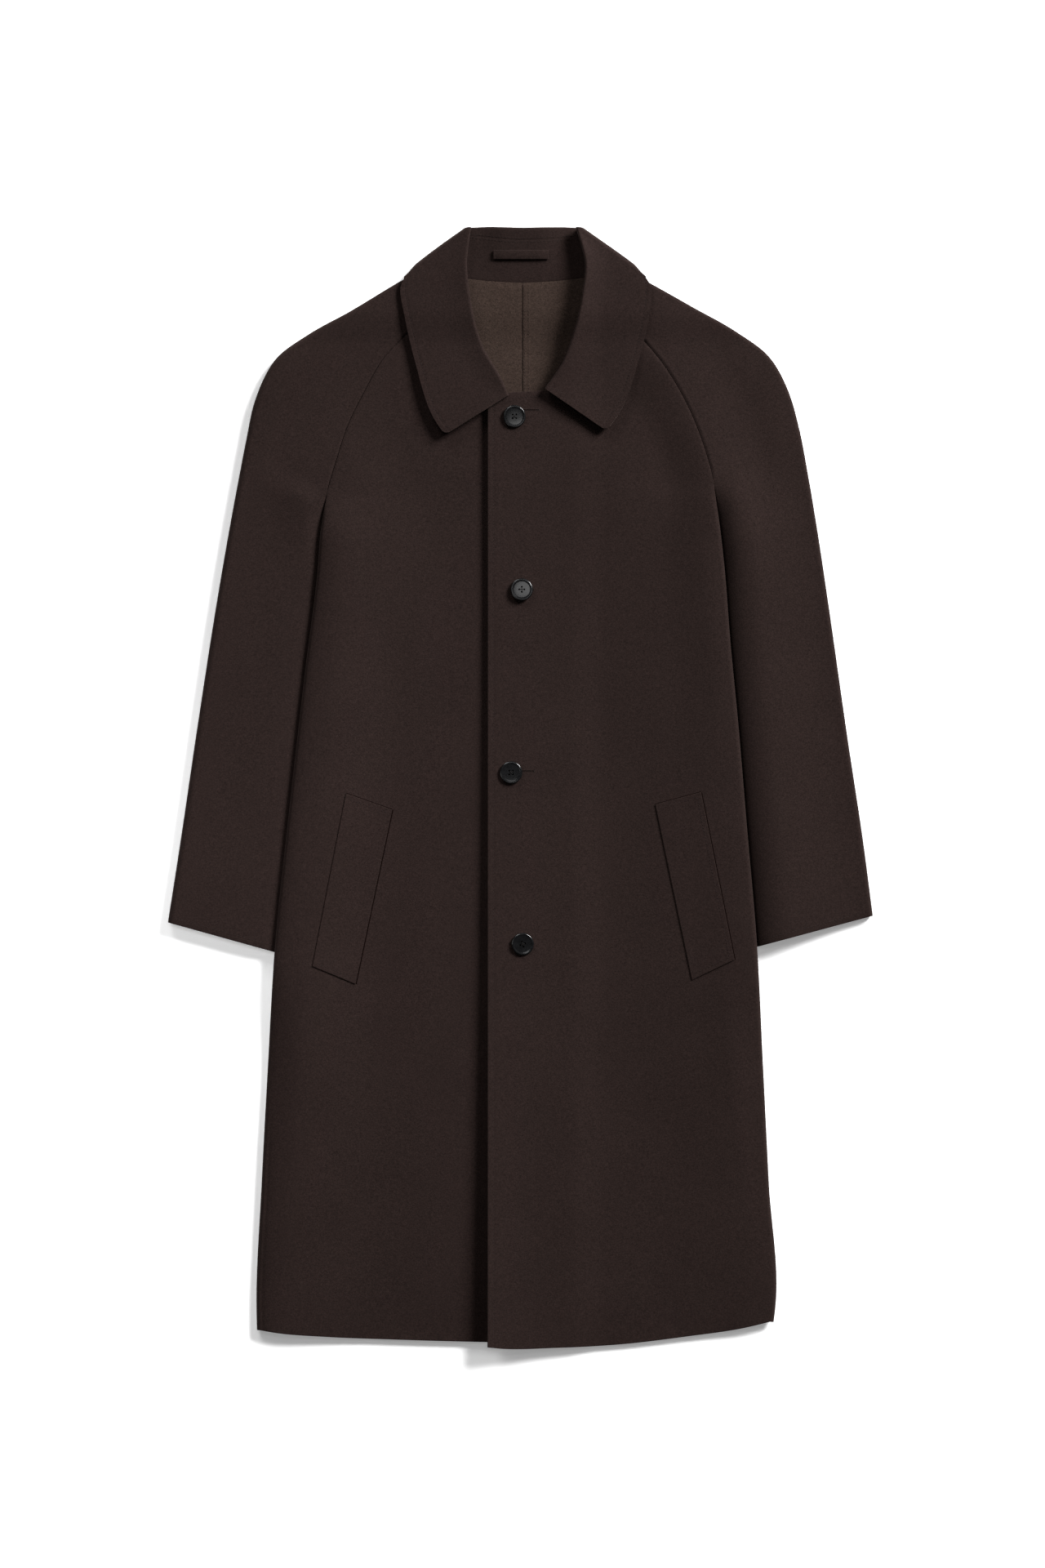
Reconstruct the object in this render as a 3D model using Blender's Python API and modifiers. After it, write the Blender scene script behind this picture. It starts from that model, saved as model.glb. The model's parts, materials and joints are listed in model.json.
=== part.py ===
"""Reversible raglan overcoat in double-faced wool, laid flat with its front side up.

The scene is in metres: +X is the wearer's left, +Y points to the collar and +Z up from the surface.
The tables and the functions work in millimetres, and each mesh is scaled once, when it is made.
"""

from collections import namedtuple
from math import atan2, cos, hypot, pi, sin

import bmesh
import bpy
import numpy as np
from mathutils import Matrix, Vector

COAT_NAME = "reversible_coat"
MM = 0.001

# Driving sizes in millimetres
CLOTH = 2.2               # wall of the double-faced wool
AIR = 1.1                 # space between layers that lie on each other
SEAM = 0.4                # gap between two pieces at a seam
STAND_GAP = 0.8           # gap between the collar stand and its neighbours
CENTRE_X = 2.2            # centre back seam and centre front
HEM_STEP = 5.0            # the back hem stays this far above the front hem
HEM_START = 5.0           # distance of the first back hem point from the centre back seam
OVERLAP_EDGE_X = -34.8    # front edge of the upper front
UNDERLAP_EDGE_X = 40.0    # front edge of the lower front, hidden
NECK_CORNER_Y = {"right": 416.0, "left": 412.0}   # upper corners of the two front edges
OVERLAP_RAMP = (52.0, 92.0)      # x range where the upper front comes down beside the underlap
EDGE_LIFT = (1.5, 9.0)           # height the front edge stands off, at the chest and at the hem
EDGE_LIFT_START_Y = 200.0
EDGE_LIFT_WIDTH = 110.0
FALL_RAMP_Y = (469.0, 510.0)     # the layers climb on to the back of the collar fall here
SIDE_PUFF = 2.0           # extra loft of the front along the side folds
SIDE_PUFF_WIDTH = 70.0
SIDE_PUFF_RISE = 60.0     # length below the armpit over which that loft grows
ARMPIT_PUFF = 0.8         # further loft where the side folds start to turn
ARMPIT_PUFF_END = (85.0, 150.0)  # lengths below the armpit where it fades
TUCK_FLAT = 28.0          # width beside the side fold that lies on the tucked sleeve
TUCK_RAMP = 80.0          # width over which the body then comes down to the surface
TUCK_RISE = 28.0          # length below the armpit over which the body climbs on to the sleeve
TUCK_END = (12.0, 75.0)   # lengths below the cuff where the body starts and ends coming down
SLEEVE_AIR = 1.4          # space between the tucked sleeve and the body over it
SLEEVE_PUFF = 3.0         # extra loft inside the sleeve along the overarm fold
WRAP = 12.0               # width of the fall inside the roll line
LAYER_GAP = 1.6           # space between the collar fall and the stand under it
FOLD_PRESS = 0.5          # width of the pressed side folds of the collar against their height

LAYERS = 2 * CLOTH + AIR                 # height of two layers
ROLL_RADIUS = (CLOTH + LAYER_GAP) / 2    # roll of the collar, to the middle of the cloth
FALL_LIFT = 2 * ROLL_RADIUS              # height of the back over the collar fall
SLEEVE_STACK = LAYERS + SLEEVE_AIR       # height of the body over the tucked sleeve
SIDE_RADIUS = (LAYERS + SIDE_PUFF - SEAM) / 2   # outer radius of the side folds
UNDERARM_RADIUS = (LAYERS - SEAM) / 2           # outer radius at the underarm seam

# Mesh rows and columns
RAGLAN_ROWS = 8
SIDE_ROWS = 16
SLEEVE_ROWS = 12
PANEL_COLUMNS = 11
TURN_SHARES = (0.35, 0.7, 0.95, 1.0)   # places across a strip that turns over at a fold
TURN_SHORTENING = 0.4     # keeps the inner corners of half-turned edges apart
TURN_ONSET = (0.1, 0.5)   # turn of the side folds in the first rows below the armpit
SLEEVE_COLUMNS = 5
FOLD_STEPS = 4            # steps round the overarm fold and the side folds of the collar
UNDERARM_ONSET = 1.5      # rows of the sleeve table over which the underarm edges start to turn
EDGE_STEPS = 24           # steps along the neck and hem lines
COLLAR_BACK_STEPS = 4
FALL_STEPS = 5
STAND_STEPS = 4
WELT_ROWS, WELT_COLUMNS = 14, 4
LOOP_ROWS, LOOP_COLUMNS = 2, 8

# Sleeve sections from neck to cuff: the seam or inner edge beside the body, and the overarm fold.
# The section at ARMPIT_ROW is the last one on the raglan seam.
SleeveSection = namedtuple("SleeveSection", "seam_x seam_y fold_x fold_y back_x back_y puff")
ARMPIT_ROW = 6
SLEEVES = {
    "right": [
        SleeveSection(-91, 512, -98.7, 555, -76, 544.5, 0.05),
        SleeveSection(-122, 482, -137, 534, -110, 500, 0.1),
        SleeveSection(-146, 457, -180, 508, -136, 467, 0.5),
        SleeveSection(-168, 418.5, -227, 482, -161, 425, 0.8),
        SleeveSection(-184, 385.5, -261, 456, -180, 388, 1.0),
        SleeveSection(-196, 349, -283, 412, -195, 350, 1.0),
        SleeveSection(-205, 318.5, -292.5, 369, -205, 318.5, 1.0),
        SleeveSection(-211, 289, -301, 325, -211, 289, 1.0),
        SleeveSection(-210, 243, -309, 282, -210, 243, 1.0),
        SleeveSection(-211, 150, -324, 195, -211, 150, 1.0),
        SleeveSection(-219, 20, -345, 60, -219, 20, 1.0),
        SleeveSection(-231, -100, -363, -62, -231, -100, 1.0),
        SleeveSection(-239, -182, -375.8, -144, -239, -182, 1.0),
    ],
    "left": [
        SleeveSection(97, 513, 104.8, 555, 80, 544.5, 0.05),
        SleeveSection(120, 488, 144, 534, 112, 505, 0.1),
        SleeveSection(146, 459, 183, 512, 139, 467, 0.5),
        SleeveSection(168, 426, 230, 485.5, 163, 430, 0.8),
        SleeveSection(184, 394, 265, 459, 181, 396, 1.0),
        SleeveSection(196, 362, 285, 424, 195, 363, 1.0),
        SleeveSection(205, 330, 298, 379, 205, 330, 1.0),
        SleeveSection(209.5, 300, 306.5, 334, 209.5, 300, 1.0),
        SleeveSection(209, 252, 314.5, 287, 209, 252, 1.0),
        SleeveSection(206, 155, 328, 198, 206, 155, 1.0),
        SleeveSection(214, 25, 348, 58, 214, 25, 1.0),
        SleeveSection(224, -95, 366, -62, 224, -95, 1.0),
        SleeveSection(229, -176, 375.7, -137, 229, -176, 1.0),
    ],
}

# Side folds of the body from armpit to hem
SidePoint = namedtuple("SidePoint", "x y")
SIDES = {
    "right": [SidePoint(-205, 318.5), SidePoint(-213.5, 277), SidePoint(-219, 232), SidePoint(-231, 131),
              SidePoint(-247, -16), SidePoint(-262, -175), SidePoint(-269, -292), SidePoint(-276, -423),
              SidePoint(-281.5, -553), SidePoint(-281, -578.5)],
    "left": [SidePoint(205, 330), SidePoint(211, 289), SidePoint(218.5, 236), SidePoint(224, 157),
             SidePoint(234.5, 64), SidePoint(244, -39), SidePoint(252.5, -170), SidePoint(258.5, -292),
             SidePoint(265, -423), SidePoint(272, -553), SidePoint(270, -570)],
}

# Front hems from the front edge to the side fold
HemPoint = namedtuple("HemPoint", "x y")
HEMS = {
    "right": [HemPoint(UNDERLAP_EDGE_X, -592.5), HemPoint(-37, -591.3), HemPoint(-137, -588.7),
              HemPoint(-207, -586), HemPoint(-259, -582), HemPoint(-281, -578.5)],
    "left": [HemPoint(OVERLAP_EDGE_X, -596), HemPoint(-20, -597.6), HemPoint(37, -597.3), HemPoint(107, -594),
             HemPoint(176, -586.2), HemPoint(237, -577.6), HemPoint(270, -570)],
}

# Collar sections from the front end to the side fold, then the fold and the half back to the centre.
# Each has its roll line, its outer edge and its point on the neck seam, the loft of the roll line over
# the neck seam, the height the whole section is raised, and the share of the full turn at the roll line.
CollarSection = namedtuple("CollarSection", "roll_x roll_y edge_x edge_y neck_x neck_y loft raised turn")
COLLAR_FRONT = {
    "right": [
        CollarSection(0.4, 421, -80.5, 375, 2, 418.5, 0, 6.0, 0.35),
        CollarSection(-19.6, 434, -93.5, 395, -37, 423.5, 2, 5.0, 1),
        CollarSection(-41.3, 473, -112.7, 455, -72, 463.5, 5, 2.4, 1),
        CollarSection(-52.6, 517, -123, 499.5, -91, 512, 7, 0.8, 1),
        CollarSection(-57, 560, -128, 530, -95, 533, 6.5, 0, 1),
    ],
    "left": [
        CollarSection(25.7, 424.6, 91.8, 379.3, 14, 422, 0, 5.0, 0.35),
        CollarSection(40.5, 445.4, 107.4, 402, 42, 425, 3, 4.0, 1),
        CollarSection(56.1, 483.7, 125.7, 454, 77, 465, 6, 2.0, 1),
        CollarSection(65.7, 525.5, 137, 501, 97, 513, 8, 0.8, 1),
        CollarSection(69.6, 562, 139.6, 530, 101, 534, 7.5, 0, 1),
    ],
}
COLLAR_FOLD = {
    "right": CollarSection(-53, 596.2, -121.5, 543, -95.5, 554, 5, 0, 1),
    "left": CollarSection(59.5, 596, 132.5, 543, 101.5, 554, 5.5, 0, 1),
}
COLLAR_BACK = {
    "right": [CollarSection(-32.6, 597, -84.8, 529, -76, 544.5, 0, 0, 1),
              CollarSection(-15, 596.6, -42, 524, -36, 539.8, 0, 0, 1)],
    "left": [CollarSection(45.7, 596.8, 93.5, 529, 80, 544.5, 0, 0, 1),
             CollarSection(20, 596.5, 46, 524, 40, 539.8, 0, 0, 1)],
}
COLLAR_CENTRE = CollarSection(CENTRE_X, 596.2, CENTRE_X, 522, CENTRE_X, 537.7, 0, 0, 1)
RAGLAN_SECTION = 3        # row of the front table where the neck edge meets the raglan seam
STAND_START = 1.5         # row position where the stand starts behind the front end of the collar

# Corners of the slanted welts as seen from above, with the collar at the top
Welt = namedtuple("Welt", "top_left top_right bottom_right bottom_left")
WELTS = {
    "right": Welt((-185.7, -6.5), (-136.6, -23.9), (-175.7, -209.7), (-221.4, -190.5)),
    "left": Welt((143.6, -18.3), (192.3, -5.2), (227.9, -183.6), (182.7, -205.3)),
}
WELT_CLOTH = 2.0
TRIM_GAP = 0.4            # gap under what lies on a panel

LOOP_CENTRE = (0.5, 567.2)
LOOP_LENGTH = 59.0
LOOP_WIDTH = 10.0
LOOP_CLOTH = 1.6
LOOP_BOW = 1.2

# Buttons from the neck down
ButtonPlace = namedtuple("ButtonPlace", "x y")
BUTTONS = [ButtonPlace(-6.5, 395.0), ButtonPlace(1.3, 210.5),
           ButtonPlace(-10.0, 15.7), ButtonPlace(2.2, -167.0)]
BUTTON_RADIUS = 12.0
BUTTON_STEPS = 24
BUTTON_HOLES = 4
BUTTON_HOLE_RADIUS = 1.1
BUTTON_HOLE_OFFSET = 2.9
PIN_DEPTH = 20.0          # length of the pins that cut the holes
PIN_SIDES = 8
ButtonRing = namedtuple("ButtonRing", "radius height")
BUTTON_PROFILE = [ButtonRing(0, 2.0), ButtonRing(7.6, 2.0), ButtonRing(9.2, 3.1), ButtonRing(10.6, 3.4),
                  ButtonRing(11.7, 2.8), ButtonRing(BUTTON_RADIUS, 1.8), ButtonRing(10.4, 0.3),
                  ButtonRing(8.6, 0), ButtonRing(0, 0)]

SIGN = {"right": -1, "left": 1}


def ease(value):
    """Smooth step from 0 to 1."""
    value = min(max(value, 0.0), 1.0)
    return value * value * (3 - 2 * value)


def sample(rows, position):
    """Row of a table at a fractional position, on the smooth curve through its rows."""
    table = np.array(rows, dtype=float)
    index = min(int(position), len(table) - 2)
    step = position - index
    spans = np.linalg.norm(np.diff(table, axis=0), axis=1)
    slopes = np.diff(table, axis=0) / spans[:, None]

    def tangent(row):
        if row == 0 or row == len(table) - 1:
            return slopes[min(row, len(slopes) - 1)]
        before, after = spans[row - 1], spans[row]
        return (slopes[row - 1] * after + slopes[row] * before) / (before + after)

    start, end = table[index], table[index + 1]
    lead = tangent(index) * spans[index]
    trail = tangent(index + 1) * spans[index]
    return (start * (1 + 2 * step) * (1 - step) ** 2 + lead * step * (1 - step) ** 2
            + end * step ** 2 * (3 - 2 * step) + trail * step ** 2 * (step - 1))


def sleeve_section(side, position):
    """Sleeve section at a fractional row of its table."""
    return SleeveSection(*sample(SLEEVES[side], position))


def collar_front_section(side, position):
    """Collar section at a fractional row of its front table."""
    section = CollarSection(*sample(COLLAR_FRONT[side], position))
    return section._replace(turn=min(section.turn, 1.0))


def along_polyline(points, share):
    """Point at a share of the length of a polyline."""
    points = np.array(points, dtype=float)
    lengths = np.concatenate(([0], np.cumsum(np.linalg.norm(np.diff(points, axis=0), axis=1))))
    target = share * lengths[-1]
    return np.array([np.interp(target, lengths, points[:, axis]) for axis in (0, 1)])


def bend(distance, length, angle):
    """Outward reach and turn-down of a strip that bends evenly through an angle over its length."""
    if angle < 1e-3:
        return distance, 0.0
    radius = length / angle
    turned = angle * distance / length
    return radius * sin(turned), radius * (1 - cos(turned))


# Heights of the layers over the surface

def fall_lift(y):
    """Height of the layers that lie on the back of the collar fall."""
    low, high = FALL_RAMP_Y
    return FALL_LIFT * ease((y - low) / (high - low))


def side_inset(side, x, y):
    """Distance from the side fold towards the middle of the body."""
    rows = SIDES[side][::-1]
    edge = np.interp(y, [row.y for row in rows], [row.x for row in rows])
    return SIGN[side] * (edge - x)


def below_armpit(side, y, end, start=0.0):
    """Smooth step from 0 to 1 between two lengths below the armpit."""
    return ease((SIDES[side][0].y - start - y) / (end - start))


def tuck_lift(side, x, y):
    """Height of the body over the tucked inner edge of the sleeve."""
    cuff_y = SLEEVES[side][-1].seam_y
    start, end = TUCK_END
    lowered = ease((cuff_y - start - y) / (end - start))
    across = 1 - ease((side_inset(side, x, y) - TUCK_FLAT) / TUCK_RAMP)
    return SLEEVE_STACK * below_armpit(side, y, TUCK_RISE) * (1 - lowered) * across


def back_under(side, x, y):
    """Underside of the back."""
    return fall_lift(y) + tuck_lift(side, x, y)


def front_top(side, x, y):
    """Upper side of a front."""
    fade_start, fade_end = ARMPIT_PUFF_END
    puff = SIDE_PUFF + ARMPIT_PUFF * (1 - below_armpit(side, y, fade_end, fade_start))
    puff *= below_armpit(side, y, SIDE_PUFF_RISE) * (1 - ease(side_inset(side, x, y) / SIDE_PUFF_WIDTH))
    height = back_under(side, x, y) + LAYERS + puff
    if side == "right":
        return height
    low, high = OVERLAP_RAMP
    step = (CLOTH + AIR) * (1 - ease((x - low) / (high - low)))
    chest, hem = EDGE_LIFT
    drop = max(EDGE_LIFT_START_Y - y, 0) / (EDGE_LIFT_START_Y - HEMS["left"][0].y)
    reach = max(1 - (x - OVERLAP_EDGE_X) / EDGE_LIFT_WIDTH, 0)
    return height + step + (chest + (hem - chest) * drop ** 1.5) * reach ** 2


# Sheets and materials

def make_material(name, colour, roughness):
    """Principled material with one colour."""
    material = bpy.data.materials.get(name)
    if material is None:
        material = bpy.data.materials.new(name)
        material.use_nodes = True
        shader = material.node_tree.nodes["Principled BSDF"]
        shader.inputs["Base Color"].default_value = (*colour, 1.0)
        shader.inputs["Roughness"].default_value = roughness
        shader.inputs["Metallic"].default_value = 0.0
        material.diffuse_color = (*colour, 1.0)
    return material


def wool():
    return make_material("dark_wool", (0.027, 0.018, 0.016), 0.9)


def horn():
    return make_material("black_button", (0.006, 0.006, 0.006), 0.2)


def make_sheet(name, points, thickness, offset, flip, collection, material):
    """Shell on a grid of points in millimetres, thickened by Solidify."""
    rows, columns = len(points), len(points[0])
    mesh = bpy.data.meshes.new(name)
    grid = bmesh.new()
    bmesh.ops.create_grid(grid, x_segments=columns - 1, y_segments=rows - 1, size=1.0)
    for vertex in grid.verts:
        column = round((vertex.co.x + 1) / 2 * (columns - 1))
        row = round((vertex.co.y + 1) / 2 * (rows - 1))
        vertex.co = Vector(points[row][column]) * MM
    if flip:
        bmesh.ops.reverse_faces(grid, faces=grid.faces)
    grid.to_mesh(mesh)
    grid.free()
    mesh.materials.append(material)
    mesh.shade_smooth()
    sheet = bpy.data.objects.new(name, mesh)
    collection.objects.link(sheet)
    solidify = sheet.modifiers.new("cloth", "SOLIDIFY")
    solidify.thickness = thickness * MM
    solidify.offset = offset
    solidify.use_even_offset = True
    return sheet


# Fronts and backs

def panel_rows(inner, outer, neck, hem, turns, turn_radius, height, turn_up):
    """Grid of a panel between its centre edge and its raglan and side edge.

    The last columns turn over along the side fold, by the share of a quarter turn given for each row.
    """
    lengths = np.concatenate(([0], np.cumsum(np.linalg.norm(np.diff(outer, axis=0), axis=1))))
    shares = lengths / lengths[-1]
    heading = np.gradient(np.array(outer, dtype=float), axis=0)
    grid = []
    for centre, edge, share, turn, ahead in zip(inner(shares), outer, shares, turns, heading):

        def plan(across):
            top, bottom = along_polyline(neck, across), along_polyline(hem, across)
            sides = (1 - across) * centre + across * np.array(edge)
            ends = (1 - share) * top + share * bottom
            top_ends = (1 - across) * np.array(neck[0]) + across * np.array(neck[-1])
            bottom_ends = (1 - across) * np.array(hem[0]) + across * np.array(hem[-1])
            return sides + ends - (1 - share) * top_ends - share * bottom_ends

        near_edge = 0.9
        width = np.linalg.norm(plan(1.0) - plan(near_edge)) / (1 - near_edge)
        angle = pi / 2 * turn
        strip = turn_radius * pi / 2 * (1 - TURN_SHORTENING * turn * (1 - turn))
        reach, _ = bend(strip, strip, angle)
        last = 1 - (reach + SEAM / 2 * (1 - turn)) / width
        along_row = plan(1.0) - plan(last)
        square = np.array((ahead[1], -ahead[0]))
        square *= np.sign(square @ along_row) / np.linalg.norm(square)
        outward = (1 - turn) * along_row / np.linalg.norm(along_row) + turn * square
        outward /= np.linalg.norm(outward)
        turn_start = plan(1.0) - outward * (1 - last) * width
        shift = turn_start - plan(last)
        line = []
        for column in range(PANEL_COLUMNS + 1):
            x, y = plan(last * column / PANEL_COLUMNS) + shift * (column / PANEL_COLUMNS) ** 2
            line.append((x, y, height(x, y)))
        for turn_share in TURN_SHARES:
            out, down = bend(strip * turn_share, strip, angle)
            x, y = turn_start + outward * out
            line.append((x, y, height(x, y) + (down if turn_up else -down)))
        grid.append(line)
    return grid


def outer_edge(side, back):
    """Raglan seam and side fold of a panel, with the share of the turn at each row."""
    points, turns = [], []
    for row in range(RAGLAN_ROWS + 1):
        section = sleeve_section(side, ARMPIT_ROW * row / RAGLAN_ROWS)
        points.append((section.back_x, section.back_y) if back else (section.seam_x, section.seam_y))
        turns.append(0.0)
    for row in range(1, SIDE_ROWS + 1):
        position = (len(SIDES[side]) - 1) * row / SIDE_ROWS
        points.append(tuple(sample(SIDES[side], position)))
        turns.append(TURN_ONSET[row - 1] if row <= len(TURN_ONSET) else 1.0)
    return points, turns


def neck_line(side, start):
    """Front neck edge from the front edge to the raglan seam."""
    points = [start]
    for step in range(EDGE_STEPS + 1):
        section = collar_front_section(side, RAGLAN_SECTION * step / EDGE_STEPS)
        points.append((section.neck_x, section.neck_y))
    return points


def curve(rows):
    """Points along the smooth curve through a table of points."""
    return [tuple(sample(rows, (len(rows) - 1) * step / EDGE_STEPS)) for step in range(EDGE_STEPS + 1)]


def straight_edge(top, bottom):
    """Function that spreads points down a straight edge by shares of its length."""
    top, bottom = np.array(top), np.array(bottom)
    return lambda shares: [top + (bottom - top) * share for share in shares]


def make_front(side, collection):
    """One front, from its free front edge to the raglan seam and the side fold."""
    edge_x = UNDERLAP_EDGE_X if side == "right" else OVERLAP_EDGE_X
    corner = (edge_x, NECK_CORNER_Y[side])
    outer, turns = outer_edge(side, back=False)
    hem = curve(HEMS[side])
    hem[-1] = outer[-1]
    grid = panel_rows(straight_edge(corner, hem[0]), outer, neck_line(side, corner), hem, turns,
                      SIDE_RADIUS, lambda x, y: front_top(side, x, y), turn_up=False)
    return make_sheet("front_" + side, grid, CLOTH, -1, side == "left", collection, wool())


def make_back(side, collection):
    """One back panel, from the centre back seam to the raglan seam and the side fold."""
    centre = CENTRE_X + SIGN[side] * SEAM / 2
    outer, turns = outer_edge(side, back=True)
    sections = [COLLAR_CENTRE] + COLLAR_BACK[side][::-1]
    neck = curve([(section.neck_x, section.neck_y) for section in sections])
    neck[0] = (centre, COLLAR_CENTRE.neck_y)
    neck[-1] = outer[0]
    hem = [(x, y + HEM_STEP) for x, y in curve(HEMS[side]) if SIGN[side] * (x - CENTRE_X) > HEM_START]
    hem = [(centre, hem[0][1])] + hem
    outer[-1] = hem[-1]
    grid = panel_rows(straight_edge(neck[0], hem[0]), outer, neck, hem, turns,
                      SIDE_RADIUS, lambda x, y: back_under(side, x, y), turn_up=True)
    return make_sheet("back_" + side, grid, CLOTH, -1, side == "right", collection, wool())


# Sleeves

def sleeve_line(side, position):
    """Outer points of a sleeve section, from its front edge over the overarm fold to its back edge."""
    section = sleeve_section(side, position)
    fold = np.array((section.fold_x, section.fold_y))
    puff = SLEEVE_PUFF * section.puff
    radius = (LAYERS + puff) / 2
    strip = UNDERARM_RADIUS * pi / 2
    turn = min(max((position - ARMPIT_ROW) / UNDERARM_ONSET, 0.0), 1.0)
    reach, _ = bend(strip, strip, pi / 2 * turn)
    start = reach + SEAM / 2 * (1 - turn)
    front_seam = np.array((section.seam_x, section.seam_y))
    inward = (front_seam - fold) / np.linalg.norm(front_seam - fold)
    base = fold + inward * radius

    def layer(seam, height, direction):
        """Points from the fold to one edge, in a layer whose edge turns towards the other."""
        toward = (seam - base) / np.linalg.norm(seam - base)
        length = np.linalg.norm(seam - base) - start
        points = []
        for column in range(SLEEVE_COLUMNS + 1):
            share = column / SLEEVE_COLUMNS
            x, y = base + toward * length * share
            points.append((x, y, height(y, 1 - share)))
        for turn_share in TURN_SHARES:
            out, turned = bend(strip * turn_share, strip, pi / 2 * turn)
            x, y = base + toward * (length + out)
            points.append((x, y, height(y, 0) + direction * turned))
        return points

    front = layer(front_seam, lambda y, share: fall_lift(y) + LAYERS + puff * ease(share), -1)
    back = layer(np.array((section.back_x, section.back_y)), lambda y, share: fall_lift(y), 1)
    middle = fall_lift(base[1]) + radius
    arc = []
    for step in range(1, FOLD_STEPS):
        angle = pi * step / FOLD_STEPS
        x, y = base - inward * radius * sin(angle)
        arc.append((x, y, middle + radius * cos(angle)))
    return front[::-1] + arc + back


def make_sleeve(side, collection):
    """One-piece raglan sleeve, open along the underarm seam by the seam gap."""
    last = len(SLEEVES[side]) - 1
    positions = [ARMPIT_ROW * row / RAGLAN_ROWS for row in range(RAGLAN_ROWS)]
    positions += [ARMPIT_ROW + (last - ARMPIT_ROW) * row / SLEEVE_ROWS for row in range(SLEEVE_ROWS + 1)]
    grid = [sleeve_line(side, position) for position in positions]
    return make_sheet("sleeve_" + side, grid, CLOTH, -1, side == "left", collection, wool())


# Collar

def collar_stations(first):
    """Sections round the collar from the right front to the left front, with their turn round the neck.

    The turn is 0 on the front, pi on the back and between them round the side folds.
    """
    stations = []
    for side in ("right", "left"):
        last = len(COLLAR_FRONT[side]) - 1
        half = [(side, collar_front_section(side, first + step / 2), 0.0)
                for step in range(int(2 * (last - first)) + 1)]
        half += [(side, COLLAR_FOLD[side], pi * step / FOLD_STEPS) for step in range(FOLD_STEPS + 1)]
        rows = COLLAR_BACK[side] + [COLLAR_CENTRE]
        for step in range(COLLAR_BACK_STEPS + 1):
            position = (len(rows) - 1) * step / COLLAR_BACK_STEPS
            half.append((side, CollarSection(*sample(rows, position)), pi))
        stations += half if side == "right" else half[-2::-1]
    return stations


def collar_point(station, plan, along, offset):
    """Point of the collar at a place in plan, moved off the middle between fall and stand."""
    side, section, angle = station
    x, y = plan
    to_neck = hypot(section.neck_x - section.roll_x, section.neck_y - section.roll_y)
    loft = section.loft * max(1 - along / to_neck, 0) ** 2
    front = front_top(side, x, y) - CLOTH / 2 + ROLL_RADIUS + section.raised + loft
    back = CLOTH / 2 + ROLL_RADIUS
    if angle == 0:
        return (x, y, front + offset)
    if angle == pi:
        return (x, y, back - offset)
    share = min(along / hypot(section.edge_x - section.roll_x, section.edge_y - section.roll_y), 1)
    radius = (front - back) / 2
    reach = (radius * FOLD_PRESS + offset) * sin(angle) / hypot(1 - share, share)
    x += SIGN[side] * (1 - share) * reach
    return (x, y + share * reach, (front + back) / 2 + (radius + offset) * cos(angle))


def fall_profile(section):
    """Places across the fall: distance from the roll line and offset, from the stand seam to the edge."""
    length = hypot(section.edge_x - section.roll_x, section.edge_y - section.roll_y)
    half = CLOTH / 2
    start = half + ROLL_RADIUS
    wrapped = pi / 2 * section.turn
    profile = [(start + (WRAP - ROLL_RADIUS) * section.turn, -ROLL_RADIUS * sin(wrapped))]
    for angle in (-wrapped, -wrapped / 2, 0, pi / 4, pi / 2):
        profile.append((half + ROLL_RADIUS * (1 - cos(angle)), ROLL_RADIUS * sin(angle)))
    for step in range(1, FALL_STEPS + 1):
        profile.append((start + (length - start) * step / FALL_STEPS, ROLL_RADIUS))
    return profile


def make_collar_fall(collection):
    """Turned-down collar: both leaves, the back under the coat, and the wrap over the roll line."""
    columns = []
    for station in collar_stations(0):
        section = station[1]
        roll = np.array((section.roll_x, section.roll_y))
        across = np.array((section.edge_x, section.edge_y)) - roll
        across /= np.linalg.norm(across)
        columns.append([collar_point(station, roll + across * along, along, offset)
                        for along, offset in fall_profile(section)])
    grid = [list(row) for row in zip(*columns)]
    return make_sheet("collar_fall", grid, CLOTH, 0, False, collection, wool())


def make_collar_stand(collection):
    """Band from the stand seam inside the roll line to the neck seam."""
    columns = []
    for station in collar_stations(STAND_START):
        section = station[1]
        roll = np.array((section.roll_x, section.roll_y))
        across = np.array((section.edge_x, section.edge_y)) - roll
        across /= np.linalg.norm(across)
        top = roll + across * (CLOTH / 2 + WRAP + STAND_GAP)
        neck = np.array((section.neck_x, section.neck_y))
        bottom = neck + (top - neck) / np.linalg.norm(top - neck) * STAND_GAP
        column = []
        for step in range(STAND_STEPS + 1):
            plan = top + (bottom - top) * step / STAND_STEPS
            column.append(collar_point(station, plan, np.linalg.norm(plan - roll), -ROLL_RADIUS))
        columns.append(column)
    grid = [list(row) for row in zip(*columns)]
    return make_sheet("collar_stand", grid, CLOTH, 0, False, collection, wool())


# Trim

def make_welt(side, collection):
    """Slanted pocket welt on the upper side of its front."""
    corners = Welt(*np.array(WELTS[side]))
    grid = []
    for row in range(WELT_ROWS + 1):
        down = row / WELT_ROWS
        start = corners.top_left * (1 - down) + corners.bottom_left * down
        end = corners.top_right * (1 - down) + corners.bottom_right * down
        line = []
        for column in range(WELT_COLUMNS + 1):
            x, y = start + (end - start) * column / WELT_COLUMNS
            line.append((x, y, front_top(side, x, y) + TRIM_GAP + WELT_CLOTH))
        grid.append(line)
    return make_sheet("pocket_welt_" + side, grid, WELT_CLOTH, -1, True, collection, wool())


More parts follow.
